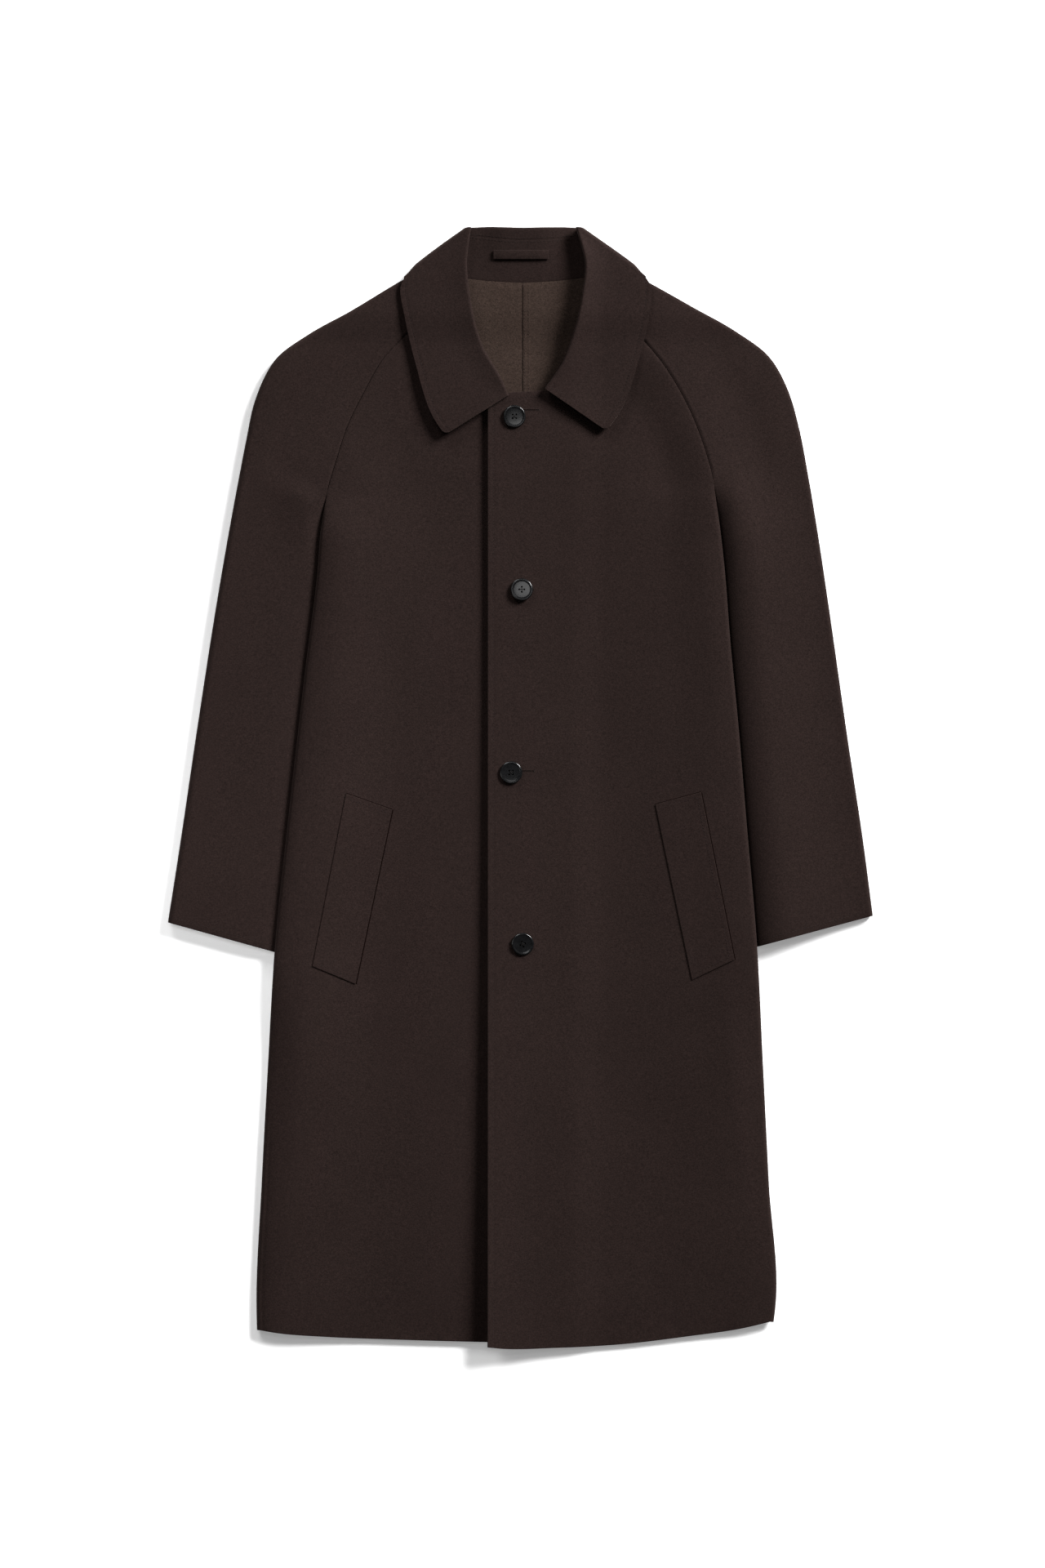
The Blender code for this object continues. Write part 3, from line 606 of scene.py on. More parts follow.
def tuck_lift(side, x, y, lead=0.0, end=TUCK_END):
    """Height of the body over the tucked inner edge of the sleeve."""
    lowered = ramp(SLEEVES[side][-1].seam_y - y, *end)
    below = below_armpit(side, y, -lead, TUCK_RISE + lead)
    width = TUCK_WIDTH[side] - ARMPIT_LEAN * (1 - below)
    across = 1 - ramp(side_inset(side, x, y), TUCK_FLAT * below, width)
    return SLEEVE_STACK * armpit_rise(side, y, lead) * (1 - lowered) * across


def back_under(side, x, y):
    return fall_lift(y) + tuck_lift(side, x, y)


def back_surface(side, x, y, inset):
    """Underside of a back, with soft hollows where it doesn't bear on the surface."""
    hollow = BACK_HOLLOW * bell(np.sin(x / 57 + y / 210), 0.5) * bell(np.sin(y / 120 - x / 300), 0.6)
    return back_under(side, x, y) + hollow * faded(HOLLOW_FADE, inset, y)


def front_top(side, x, y):
    """Upper side of a front without its creases."""
    inset = np.maximum(side_inset(side, x, y), 0)
    puff = SIDE_PUFF[side] + ARMPIT_PUFF * (1 - below_armpit(side, y, *ARMPIT_PUFF_END))
    puff = puff * (1 - ramp(inset, 0, SIDE_PUFF_WIDTH))
    bulge = SIDE_BULGE[side] * (1 - np.exp(-inset / SIDE_BULGE_ONSET))
    bulge = bulge * (1 - ramp(inset, 0, SIDE_BULGE_WIDTH))
    tucked, bridged = (tuck_lift(side, x, y, ARMPIT_LEAD, end) for end in (TUCK_END, BRIDGE_END))
    lift = mix(tucked, bridged, ramp(inset, 0, BRIDGE_INSET))
    height = fall_lift(y) + lift + LAYERS + (puff + bulge) * below_armpit(side, y, 0, SIDE_PUFF_RISE)
    if side == "right":
        return height
    step = (CLOTH + AIR) * (1 - ramp(x, *OVERLAP_RAMP_X))
    drop = np.maximum(EDGE_LIFT_START_Y - y, 0) / (EDGE_LIFT_START_Y - HEMS["left"][0].y)
    reach = np.maximum(1 - (x - OVERLAP_EDGE_X) / EDGE_LIFT_WIDTH, 0)
    return height + step + mix(*EDGE_LIFT, drop ** EDGE_LIFT_CURVE) * reach ** 2


def creases(side, x, y):
    """Long uneven waves of a front with its soft troughs and ridges, which fade towards their ends."""
    broad = np.sin(x / 41 + y / 97) * np.sin(y / 73 - x / 160 + 1.3)
    narrow = np.sin(x / 23 - y / 131 + 0.4)
    height = SWELL * (broad + 0.6 * narrow)
    for crease in CREASES[side]:
        along_x, along_y = crease.end_x - crease.start_x, crease.end_y - crease.start_y
        length = hypot(along_x, along_y)
        along = ((x - crease.start_x) * along_x + (y - crease.start_y) * along_y) / length ** 2
        beside = ((x - crease.start_x) * along_y - (y - crease.start_y) * along_x) / length
        height = height + crease.depth * bell(beside, crease.width) * bell(along - 0.5, CREASE_SPREAD)
    return height


def front_surface(side, x, y, inset):
    """Upper side of a front with its creases, its dents along stitch rows and its seams."""
    height = front_top(side, x, y) + creases(side, x, y) * faded(CREASE_FADE, inset, y)
    if side == "left":
        height = height + relief(x - OVERLAP_EDGE_X, STITCH_DENT)
    else:
        height = height + ramp(y, *SIDE_TURNING_RAMP_Y) * relief(inset, *SIDE_TURNING)
    on_raglan = ramp(y, SIDES[side][0].y - RAGLAN_DENT_FADE / 2, RAGLAN_DENT_FADE)
    return height + raglan_ridge(side, y, inset, "front") + on_raglan * relief(inset, RAGLAN_DENT["front"])


def on_front(side, x, y):
    return front_surface(side, x, y, side_inset(side, x, y))


def slopes_of(height, x, y, reach=1.0):
    """Slopes of a height field along X and along Y at places in plan."""
    slope_x = (height(x + reach, y) - height(x - reach, y)) / (2 * reach)
    slope_y = (height(x, y + reach) - height(x, y - reach)) / (2 * reach)
    return slope_x, slope_y


# Meshes

def link_object(name, data):
    item = bpy.data.objects.new(name, data)
    bpy.context.scene.collection.objects.link(item)
    return item


def new_object(name, verts, faces, materials, smooth=True):
    """Mesh object in metres from points in millimetres."""
    mesh = bpy.data.meshes.new(name)
    points = np.asarray(verts, dtype=float).reshape(-1, 3) * MM
    mesh.from_pydata(points.tolist(), [], np.asarray(faces).tolist())
    mesh.validate()
    for material in materials:
        mesh.materials.append(material)
    if smooth:
        mesh.shade_smooth()
    return link_object(name, mesh)


def make_cloth(name, points, thickness, offset, flip, materials, rim=RIM):
    """Shell of cloth on a grid of points, with rounded rims."""
    points = np.asarray(points, dtype=float)
    rows, columns = points.shape[:2]
    index = np.arange(rows * columns).reshape(rows, columns)
    faces = np.stack([index[:-1, :-1], index[:-1, 1:], index[1:, 1:], index[1:, :-1]], axis=-1).reshape(-1, 4)
    if flip:
        faces = faces[:, ::-1]
    cloth = new_object(name, points, faces, materials)
    solidify = cloth.modifiers.new("cloth", "SOLIDIFY")
    solidify.thickness = thickness * MM
    solidify.offset = offset
    solidify.use_even_offset = True
    solidify.material_offset = len(materials) - 1
    bevel = cloth.modifiers.new("rim", "BEVEL")
    bevel.width = rim * MM
    bevel.segments = 3
    bevel.limit_method = "ANGLE"
    bevel.angle_limit = radians(55)
    return cloth


def make_stitches(name, rows, material, radius=STITCH_RADIUS, length=STITCH_LENGTH, pitch=STITCH_PITCH):
    """Stitches along rows of points, each given with its normals, as one mesh."""
    # Rings of a stitch: place along it in lengths, and size and height in radii
    rings = [(-0.5, 0.35, -0.9), (-0.38, 0.85, -0.1), (-0.12, 1.0, 0.15)]
    rings += [(-place, size, sink) for place, size, sink in reversed(rings)]
    sides, verts, faces = 6, [], []
    angles = np.arange(sides) * 2 * pi / sides
    for points, normals in rows:
        points, normals = np.asarray(points), np.asarray(normals)
        total = lengths_along(points)[-1]
        reach = 0.3 * length / total
        count = max(int(total / pitch), 1)
        for middle in (np.arange(count) + 0.5) / count:
            start, centre, end = along_polyline(points, [middle - reach, middle, middle + reach])
            ahead = (end - start) / np.linalg.norm(end - start)
            up = along_polyline(normals, [middle])[0]
            up = up - ahead * (up @ ahead)
            up /= np.linalg.norm(up)
            beside = np.cross(ahead, up)
            first = len(verts)
            for place, size, sink in rings:
                ring = centre + ahead * place * length + up * sink * radius
                verts += [ring + radius * size * (beside * cos(angle) + up * sin(angle)) for angle in angles]
            for base in range(first, len(verts) - sides, sides):
                for corner in range(sides):
                    here, following = base + corner, base + (corner + 1) % sides
                    faces.append((here, following, following + sides, here + sides))
    return new_object(name, verts, faces, [material])


def height_row(plan, height, lift=STITCH_LIFT):
    """Row of points a little over a height field, with normals."""
    x, y = np.asarray(plan, dtype=float).T
    slope_x, slope_y = slopes_of(height, x, y)
    normals = np.column_stack([-slope_x, -slope_y, np.ones_like(slope_x)])
    normals /= np.linalg.norm(normals, axis=1, keepdims=True)
    return np.column_stack([x, y, height(x, y)]) + normals * lift, normals


def level_row(points):
    """Row of points with normals that point up."""
    return points, np.tile((0.0, 0.0, 1.0), (len(points), 1))


# Materials, with the ranges that most values of a noise and of two added noises lie in

NOISE_RANGE = (0.3, 0.7)
WEAVE_RANGE = (0.36, 0.64)


def set_values(node, values):
    for name, value in values.items():
        node.inputs[name].default_value = value


def new_node(tree, kind, values, links):
    """Shader node with values and links on its sockets."""
    node = tree.nodes.new("ShaderNode" + kind)
    set_values(node, values)
    for name, source in links.items():
        tree.links.new(source, node.inputs[name])
    return node


def new_material(name):
    material = bpy.data.materials.new(name)
    material.use_nodes = True
    return material, material.node_tree, material.node_tree.nodes["Principled BSDF"]


def object_coordinates(tree):
    return tree.nodes.new("ShaderNodeTexCoord").outputs["Object"]


def noise(tree, coordinates, scale, detail, roughness=0.5):
    values = {"Scale": scale, "Detail": detail, "Roughness": roughness}
    return new_node(tree, "TexNoise", values, {"Vector": coordinates}).outputs["Fac"]


def stretched(tree, coordinates, scale, angle):
    values = {"Scale": scale, "Rotation": (0, 0, angle)}
    return new_node(tree, "Mapping", values, {"Vector": coordinates}).outputs["Vector"]


def span(tree, value, low, high, new_low, new_high):
    values = {"From Min": low, "From Max": high, "To Min": new_low, "To Max": new_high}
    return new_node(tree, "MapRange", values, {"Value": value}).outputs["Result"]


def maths(tree, operation, first, second):
    node = tree.nodes.new("ShaderNodeMath")
    node.operation = operation
    tree.links.new(first, node.inputs[0])
    tree.links.new(second, node.inputs[1])
    return node.outputs["Value"]


def tint(tree, shader, colour, shade):
    """Base colour with an uneven shade."""
    node = tree.nodes.new("ShaderNodeVectorMath")
    node.operation = "SCALE"
    node.inputs[0].default_value = colour
    tree.links.new(shade, node.inputs["Scale"])
    tree.links.new(node.outputs["Vector"], shader.inputs["Base Color"])


def wool(name, colour, fleck, grain, relief_share, sheen):
    """Milled wool: a fine melange of light and dark fibres with a soft nap."""
    material, tree, shader = new_material(name)
    coordinates = object_coordinates(tree)
    fibres = noise(tree, stretched(tree, coordinates, (1.0, 0.45, 1.0), 0.35), grain, 3.0, 0.65)
    cross_fibres = noise(tree, stretched(tree, coordinates, (0.45, 1.0, 1.0), -0.3), grain * 0.85, 3.0, 0.65)
    weave = span(tree, maths(tree, "ADD", fibres, cross_fibres), 0.0, 2.0, 0.0, 1.0)
    nap = noise(tree, coordinates, grain * 0.22, 3.0)
    cloud = noise(tree, coordinates, 14.0, 3.0)
    patches = maths(tree, "MULTIPLY", span(tree, nap, *NOISE_RANGE, 1 - 0.2 * fleck, 1 + 0.2 * fleck),
                    span(tree, cloud, *NOISE_RANGE, 0.95, 1.05))
    shade = maths(tree, "MULTIPLY", span(tree, weave, *WEAVE_RANGE, 1 - fleck, 1 + fleck), patches)
    tint(tree, shader, colour, shade)
    tree.links.new(span(tree, weave, *WEAVE_RANGE, 0.95, 0.82), shader.inputs["Roughness"])
    bump = new_node(tree, "Bump", {"Strength": relief_share, "Distance": 0.0004}, {"Height": weave})
    tree.links.new(bump.outputs["Normal"], shader.inputs["Normal"])
    set_values(shader, {"Specular IOR Level": 0.04, "Sheen Weight": sheen, "Sheen Roughness": 0.45,
                        "Sheen Tint": (0.55, 0.42, 0.38, 1.0)})
    return material


def thread(name, colour, gloss=0.12):
    """Twisted sewing thread, or without gloss the shade inside a seam."""
    material, tree, shader = new_material(name)
    coordinates = object_coordinates(tree)
    twist = noise(tree, coordinates, 2200.0, 1.0)
    tint(tree, shader, colour, span(tree, twist, *NOISE_RANGE, 0.75, 1.25))
    set_values(shader, {"Roughness": 0.6, "Specular IOR Level": gloss})
    return material


def polished_button(name, colour):
    """Black polished button with a faint cloud in the resin and fine wear in its gloss."""
    material, tree, shader = new_material(name)
    coordinates = object_coordinates(tree)
    cloud = noise(tree, coordinates, 160.0, 3.0)
    scratches = noise(tree, stretched(tree, coordinates, (1.0, 3.0, 1.0), 0.7), 900.0, 2.0)
    tint(tree, shader, colour, span(tree, cloud, *NOISE_RANGE, 0.7, 1.4))
    tree.links.new(span(tree, scratches, *NOISE_RANGE, 0.17, 0.21), shader.inputs["Roughness"])
    set_values(shader, {"Specular IOR Level": 0.4})
    return material


OUTER = wool("coat_wool", (0.0143, 0.0088, 0.0078), fleck=0.42, grain=1150.0, relief_share=0.35, sheen=0.12)
REVERSE = wool("coat_wool_reverse", (0.0275, 0.0182, 0.0145), fleck=0.5, grain=1300.0, relief_share=0.45,
               sheen=0.08)
THREAD = thread("coat_thread", (0.0140, 0.0087, 0.0077))
REVERSE_THREAD = thread("coat_reverse_thread", (0.0250, 0.0165, 0.0132))
DARK_THREAD = thread("coat_dark_thread", (0.0035, 0.0027, 0.0024))
# Painted shade: matt near-black for the strips that stand for the shade in welt seams and buttonhole slits
SEAM_SHADE = thread("coat_seam_shade", (0.0045, 0.0025, 0.0021), gloss=0.0)
POLISHED = polished_button("coat_button", (0.004, 0.004, 0.0043))


# Fronts and backs

def panel_grid(side, outer, turns, neck, hem, columns, height, turn_up):
    """Grid of a panel from its centre edge to its raglan and side edge, turned over along the side fold."""
    outer, neck, hem = (np.array(line, dtype=float) for line in (outer, neck, hem))
    lengths = lengths_along(outer)
    flat_shares = crowded(columns, PANEL_CROWDING)
    turn_shares = np.linspace(0, 1, TURN_COLUMNS + 1)[1:]
    gap = (HIDDEN_SEAM if turn_up else SEAM) / 2
    near_edge = 0.9
    grid = []
    for edge, share, turn, ahead in zip(outer, lengths / lengths[-1], turns, np.gradient(outer, axis=0)):
        centre = mix(neck[0], hem[0], share)

        def plan(across):
            across = np.atleast_1d(across)[:, None]
            top = along_polyline(neck, across[:, 0]) - mix(neck[0], neck[-1], across)
            bottom = along_polyline(hem, across[:, 0]) - mix(hem[0], hem[-1], across)
            return mix(centre, edge, across) + mix(top, bottom, share)

        width = np.linalg.norm(plan(1.0) - plan(near_edge)) / (1 - near_edge)
        angle = pi / 2 * turn
        strip = SIDE_RADIUS[side] * pi / 2 * (1 - TURN_SHORTENING * turn * (1 - turn))
        reach, _ = bend(strip, strip, angle)
        last = 1 - (reach + gap * (1 - turn)) / width
        along_row = (plan(1.0) - plan(last))[0]
        square = np.array((ahead[1], -ahead[0]))
        square *= np.sign(square @ along_row) / np.linalg.norm(square)
        outward = mix(along_row / np.linalg.norm(along_row), square, turn)
        outward /= np.linalg.norm(outward)
        turn_start = plan(1.0)[0] - outward * (1 - last) * width
        shift = turn_start - plan(last)[0]
        flat = plan(last * flat_shares) + shift * flat_shares[:, None] ** 2
        out, down = bend(strip * turn_shares, strip, angle)
        places = np.concatenate([flat, turn_start + outward * out[:, None]])
        inset = np.concatenate([width * (1 - last * flat_shares), width * (1 - last) - out])
        drop = np.concatenate([np.zeros(len(flat)), down if turn_up else -down])
        heights = height(places[:, 0], places[:, 1], np.maximum(inset, 0)) + drop
        grid.append(np.column_stack([places, heights]))
    return grid


def outer_edge(side, back, mesh):
    """Raglan seam and side fold of a panel, with the share of the turn at each row."""
    before, end = SIDES[side][-2:]
    last = len(SIDES[side]) - 1 - (HEM_STEP / (before.y - end.y) if back else 0)
    points = []
    for row in range(mesh.raglan_rows + 1):
        section = sleeve_section(side, ARMPIT_ROW * row / mesh.raglan_rows)
        points.append((section.back_x, section.back_y) if back else (section.seam_x, section.seam_y))
    for row in range(1, mesh.side_rows + 1):
        points.append(tuple(sample(SIDES[side], last * row / mesh.side_rows)))
    turns = [float(below_armpit(side, y, *TURN_ONSET)) for _, y in points]
    return points, turns


def neck_line(side, start, steps=72):
    """Neck edge of a front, from its corner to the raglan seam."""
    points = [start]
    if side == "left":
        points.append(NECK_BEND)
    for step in range(steps + 1):
        section = collar_front_section(side, RAGLAN_SECTION * step / steps)
        points.append((section.neck_x, section.neck_y))
    return points


def make_front(side):
    corner = (UNDERLAP_EDGE_X if side == "right" else OVERLAP_EDGE_X, NECK_CORNER_Y[side])
    outer, turns = outer_edge(side, False, FRONT_MESH)
    grid = panel_grid(side, outer, turns, neck_line(side, corner), curve(HEMS[side], 96), FRONT_MESH.columns,
                      partial(front_surface, side), False)
    return make_cloth("front_%s_cloth" % side, grid, CLOTH, -1, side == "left", [OUTER, REVERSE])


def make_back(side):
    outer, turns = outer_edge(side, True, BACK_MESH)
    sections = [COLLAR_CENTRE] + COLLAR_BACK[side][::-1]
    neck = curve([(section.neck_x, section.neck_y) for section in sections], 36)
    hem = [(x, y + HEM_STEP) for x, y in curve(HEMS[side], 96) if SIGN[side] * (x - CENTRE_X) > HEM_START]
    hem = [(CENTRE_X, hem[0][1])] + hem[:-1] + [outer[-1]]
    grid = panel_grid(side, outer, turns, neck, hem, BACK_MESH.columns, partial(back_surface, side), True)
    return make_cloth("back_%s_cloth" % side, grid, CLOTH, -1, side == "right", [OUTER, REVERSE])


# Sleeves

def sleeve_top(side, position, x, y, rest, inset):
    """Upper side of a sleeve, by the share of the way to the overarm fold and the distance from the seam."""
    section = sleeve_section(side, position)
    below = position - ARMPIT_ROW
    height = fall_lift(y) + LAYERS + SLEEVE_PUFF[side] * section.puff * (rest + ease(rest)) / 2
    height = height + raglan_ridge(side, section.seam_y, inset, "sleeve")
    height = height + (1 - ramp(below, *BEAD_OUT_BELOW)) * relief(inset, RAGLAN_BEAD[side])
    seam = SIDES[side][0]
    if below < 0:
        height = height + relief(inset, RAGLAN_DENT["sleeve"])
        seam = Place(section.seam_x, section.seam_y)
    rise = tuck_lift(side, seam.x, seam.y, ARMPIT_LEAD) * (1 - ramp(below, *RISE_OUT_BELOW))
    at_edge = 1 - ramp(below, *EDGE_RISE_OUT_BELOW) * (1 - ramp(inset, 0, EDGE_RISE_INSET))
    height = height + rise * (1 - ramp(inset, 0, ARMPIT_WIDTH)) * at_edge
    roll = SLEEVE_ROLL[side]
    wave = ROLL_WAVE * sin(position * ROLL_WAVE_RATE + SIGN[side]) * ramp(position, *WAVE_IN)
    outside = np.clip((SLEEVE_ROLL_START - side_inset(side, x, y)) / roll.width, 0, 1)
    form = (roll.height + wave) * (1 - (1 - outside) ** SLEEVE_ROLL_CURVE)
    form = form + roll.lip * (1 - np.exp(-outside * roll.width / SLEEVE_LIP_WIDTH))
    crown = SHOULDER_CROWN * ramp(position, *CROWN_IN) * (1 - ramp(position, *CROWN_OUT))
    onset = ease(SLEEVE_ROLL_SHARE * (1 - rest)) * ramp(below, 0, roll.onset)
    return height + form * onset + crown * rest ** 2 * (1 - rest)


def sleeve_line(side, position):
    """Outer points of a sleeve section, from its front edge over the overarm fold to its back edge."""
    section = sleeve_section(side, position)
    below = position - ARMPIT_ROW
    turn = pi / 2 * min(max(below / UNDERARM_ONSET, 0.0), 1.0)
    radius = (LAYERS + SLEEVE_PUFF[side] * section.puff) / 2
    strip = UNDERARM_RADIUS * pi / 2
    reach, _ = bend(strip, strip, turn)
    tucked = SIGN[side] * ARMPIT_TUCK * ramp(below, *TUCK_IN_BELOW) * (1 - ramp(below, *TUCK_OUT_BELOW))
    front_seam = np.array((section.seam_x - tucked, section.seam_y))
    back_seam = np.array((section.back_x - tucked, section.back_y))
    fold = np.array((section.fold_x, section.fold_y))
    inward = (front_seam - fold) / np.linalg.norm(front_seam - fold)
    base = fold + inward * radius
    flat_shares = crowded(SLEEVE_COLUMNS, SLEEVE_CROWDING)
    turn_shares = np.linspace(0, 1, UNDERARM_COLUMNS + 1)[1:]

    def layer(seam, gap, height, direction):
        toward = (seam - base) / np.linalg.norm(seam - base)
        length = np.linalg.norm(seam - base) - reach - gap / 2 * (1 - turn / (pi / 2))
        out, turned = bend(strip * turn_shares, strip, turn)
        reaches = np.concatenate([length * flat_shares, length + out])
        places = base + toward * reaches[:, None]
        drop = np.concatenate([np.zeros(len(flat_shares)), direction * turned])
        rest = np.concatenate([1 - flat_shares, np.zeros(len(turn_shares))])
        heights = height(places[:, 0], places[:, 1], rest, length + strip - reaches) + drop
        return np.column_stack([places, heights])

    front = layer(front_seam, SEAM, partial(sleeve_top, side, position), -1)
    back = layer(back_seam, HIDDEN_SEAM, lambda x, y, rest, inset: fall_lift(y), 1)
    angles = np.linspace(0, pi, 13)[1:-1]
    places = base - inward * radius * np.sin(angles)[:, None]
    arc = np.column_stack([places, fall_lift(base[1]) + radius + radius * np.cos(angles)])
    return np.concatenate([front[::-1], arc, back])


def make_sleeve(side):
    raglan_rows, arm_rows = SLEEVE_ROWS
    raglan = np.linspace(0, ARMPIT_ROW, raglan_rows + 1)[:-1]
    arm = np.linspace(ARMPIT_ROW, len(SLEEVES[side]) - 1, arm_rows + 1)
    grid = [sleeve_line(side, position) for position in np.concatenate([raglan, arm])]
    return make_cloth("sleeve_%s_cloth" % side, grid, CLOTH, -1, side == "left", [OUTER, REVERSE])


# Collar

Station = namedtuple("Station", "side section angle position")


def collar_stations(first, front_steps, fold_steps, back_steps):
    """Sections round the collar from the right front to the left front, with their turn round the neck."""
    stations = []
    for side in ("right", "left"):
        last = len(COLLAR_FRONT[side])
        half = []
        for share in np.linspace(0, 1, front_steps + 1) ** COLLAR_CROWDING:
            position = first + (last - first) * share
            half.append(Station(side, collar_front_section(side, position), 0.0, position))
        for angle in np.linspace(0, pi, fold_steps + 1)[1:]:
            half.append(Station(side, COLLAR_FOLD[side], angle, last + 1.0))
        rows = COLLAR_BACK[side] + [COLLAR_CENTRE]
        for position in np.linspace(0, len(rows) - 1, back_steps + 1):
            half.append(Station(side, CollarSection(*sample(rows, position)), pi, last + 2.0))
        stations += half if side == "right" else half[-2::-1]
    return stations


def back_roll(x, y):
    """Slope of the back of the collar up to its roll, fading out towards the side folds."""
    depth = COLLAR_CENTRE.roll_y - COLLAR_CENTRE.neck_y
    inner = ease((BACK_ROLL_HALF - np.abs(x - CENTRE_X)) / BACK_ROLL_FADE)
    return BACK_ROLL_LIFT * np.clip((y - COLLAR_CENTRE.neck_y) / depth, 0, 1) * inner


def stand_top(x, y):
    """Upper side of the stand across the back neck."""
    return FALL_LIFT + CLOTH + back_roll(x, y)


def fall_length(section):
    return hypot(section.edge_x - section.roll_x, section.edge_y - section.roll_y)


def fall_place(section, along):
    """Place in plan at a distance from the roll line towards the collar's edge."""
    roll = np.array((section.roll_x, section.roll_y))
    edge = np.array((section.edge_x, section.edge_y))
    return roll + (edge - roll) / fall_length(section) * along


def collar_point(station, plan, along, offset):
    """Point of the collar at a place in plan, moved off the middle between fall and stand."""
    side, section, angle, _ = station
    x, y = plan
    to_neck = hypot(section.neck_x - section.roll_x, section.neck_y - section.roll_y)
    loft = section.loft * max(1 - along / to_neck, 0) ** 2
    front = float(front_top(side, x, y)) - CLOTH / 2 + ROLL_RADIUS + section.raised + loft
    back = CLOTH / 2 + ROLL_RADIUS + float(back_roll(x, y))
    if angle == 0:
        return (x, y, front + offset)
    if angle == pi:
        return (x, y, back - offset)
    share = min(along / fall_length(section), 1)
    radius = (front - back) / 2
    reach = (radius * FOLD_PRESS + offset) * sin(angle) / hypot(1 - share, share)
    reach *= 1 - FOLD_TIP_PRESS * float(ramp(share, *FOLD_TIP))
    x += SIGN[side] * (1 - share) * reach
    return (x, y + share * reach, (front + back) / 2 + (radius + offset) * cos(angle))


def fall_profile(section):
    """Places across the fall: distance from the roll line and offset, from the stand seam to the edge."""
    length = fall_length(section)
    half = CLOTH / 2
    start = half + ROLL_RADIUS
    wrapped = pi / 2 * section.turn
    profile = []
    for share in np.linspace(1, 0, 5)[:-1]:
        profile.append((start + (WRAP - ROLL_RADIUS) * section.turn * share, -ROLL_RADIUS * sin(wrapped)))
    for angle in np.concatenate([np.linspace(-wrapped, 0, 7)[:-1], np.linspace(0, pi / 2, 7)]):
        profile.append((half + ROLL_RADIUS * (1 - cos(angle)), ROLL_RADIUS * sin(angle)))
    for share in np.linspace(0, 1, 40)[1:]:
        along = start + (length - start) * (1 - (1 - share) ** 1.6)
        profile.append((along, ROLL_RADIUS + relief(length - along, STITCH_DENT)))
    return profile


def tip_rounding(side):
    """Function that moves a place near the collar tip on to its round corner."""
    positions = np.linspace(0, 1, 80)
    sections = [collar_front_section(side, position) for position in positions]
    lengths = lengths_along([(section.edge_x, section.edge_y) for section in sections])

    def moved(position, inset):
        ahead = np.interp(position, positions, lengths)
        if position >= 1 or ahead >= TIP_RADIUS or inset >= TIP_RADIUS:
            return position, inset
        first, second = 1 - ahead / TIP_RADIUS, 1 - inset / TIP_RADIUS
        new_ahead = TIP_RADIUS * (1 - first * (1 - second ** 2 / 2) ** 0.5)
        new_inset = TIP_RADIUS * (1 - second * (1 - first ** 2 / 2) ** 0.5)
        return float(np.interp(new_ahead, lengths, positions)), new_inset

    return moved


def fall_point(station, along, offset, rounding):
    """Point of the fall, with the tips of the leaves rounded."""
    if station.angle == 0:
        position, inset = rounding[station.side](station.position, fall_length(station.section) - along)
        if position != station.position:
            section = collar_front_section(station.side, position)
            station = station._replace(section=section, position=position)
            along = fall_length(section) - inset
    return collar_point(station, fall_place(station.section, along), along, offset)


def make_collar_fall():
    rounding = {side: tip_rounding(side) for side in SIGN}
    grid = []
    for station in collar_stations(0, *FALL_STEPS):
        profile = fall_profile(station.section)
        grid.append([fall_point(station, along, offset, rounding) for along, offset in profile])
    return make_cloth("collar_fall_cloth", np.swapaxes(grid, 0, 1), CLOTH, 0, False, [OUTER])


def make_collar_stand():
    grid = []
    for station in collar_stations(STAND_START, *STAND_STEPS):
        section = station.section
        roll, neck = np.array((section.roll_x, section.roll_y)), np.array((section.neck_x, section.neck_y))
        top = fall_place(section, CLOTH / 2 + WRAP + STAND_GAP)
        bottom = neck + (top - neck) / np.linalg.norm(top - neck) * STAND_GAP
        line = []
        for place in spread(top, bottom, 17):
            line.append(collar_point(station, place, np.linalg.norm(place - roll), -ROLL_RADIUS))
        grid.append(line)
    return make_cloth("collar_stand_cloth", np.swapaxes(grid, 0, 1), CLOTH, 0, False, [OUTER])


def on_fall(station, along):
    """Point in the outer face of the fall and the normal there."""
    place = fall_place(station.section, along)
    middle, outer = (np.array(collar_point(station, place, along, ROLL_RADIUS + offset))
                     for offset in (0, CLOTH / 2))
    sunk = 0.1
    return outer - (outer - middle) * sunk, (outer - middle) / np.linalg.norm(outer - middle)


def collar_edge_row():
    """Stitch row along the outer edge of the collar."""
    stations = collar_stations(0, *FALL_STEPS)
    inside = [station for station in stations if station.angle > 0 or station.position >= COLLAR_END_ROW]
    points, normals = zip(*[on_fall(row, fall_length(row.section) - STITCH_INSET) for row in inside])
    return points, normals


def collar_end_row(side):
    """Stitch row along one front end of the collar."""
    station = Station(side, collar_front_section(side, COLLAR_END_ROW), 0.0, COLLAR_END_ROW)
    roll_end, edge_end = 8, fall_length(station.section) - STITCH_INSET
    points, normals = zip(*[on_fall(station, along) for along in np.linspace(roll_end, edge_end, 40)])
    return points, normals


def stand_rows():
    """Two stitch rows across the back neck, on each side of the seam between fall and stand."""
    stations = collar_stations(STAND_START, *STAND_STITCH_STEPS)
    sections = [station.section for station in stations if station.angle == pi]
    rows = []
    for inset in STAND_STITCH_INSETS:
        plan = np.array([fall_place(section, CLOTH / 2 + inset) for section in sections])
        rows.append(level_row(np.column_stack([plan, stand_top(*plan.T) + STAND_STITCH_LIFT])))
    return rows


# Trim

def welt_height(side, x, y):
    return on_front(side, x, y) + WELT_GAP + WELT_CLOTH


def welt_place(side, down, across):
    """Place in plan on a welt, by shares of its length and of its width."""
    corners = Welt(*np.array(WELTS[side]))
    start = mix(corners.top_left, corners.bottom_left, down)
    end = mix(corners.top_right, corners.bottom_right, down)
    return mix(start, end, across)


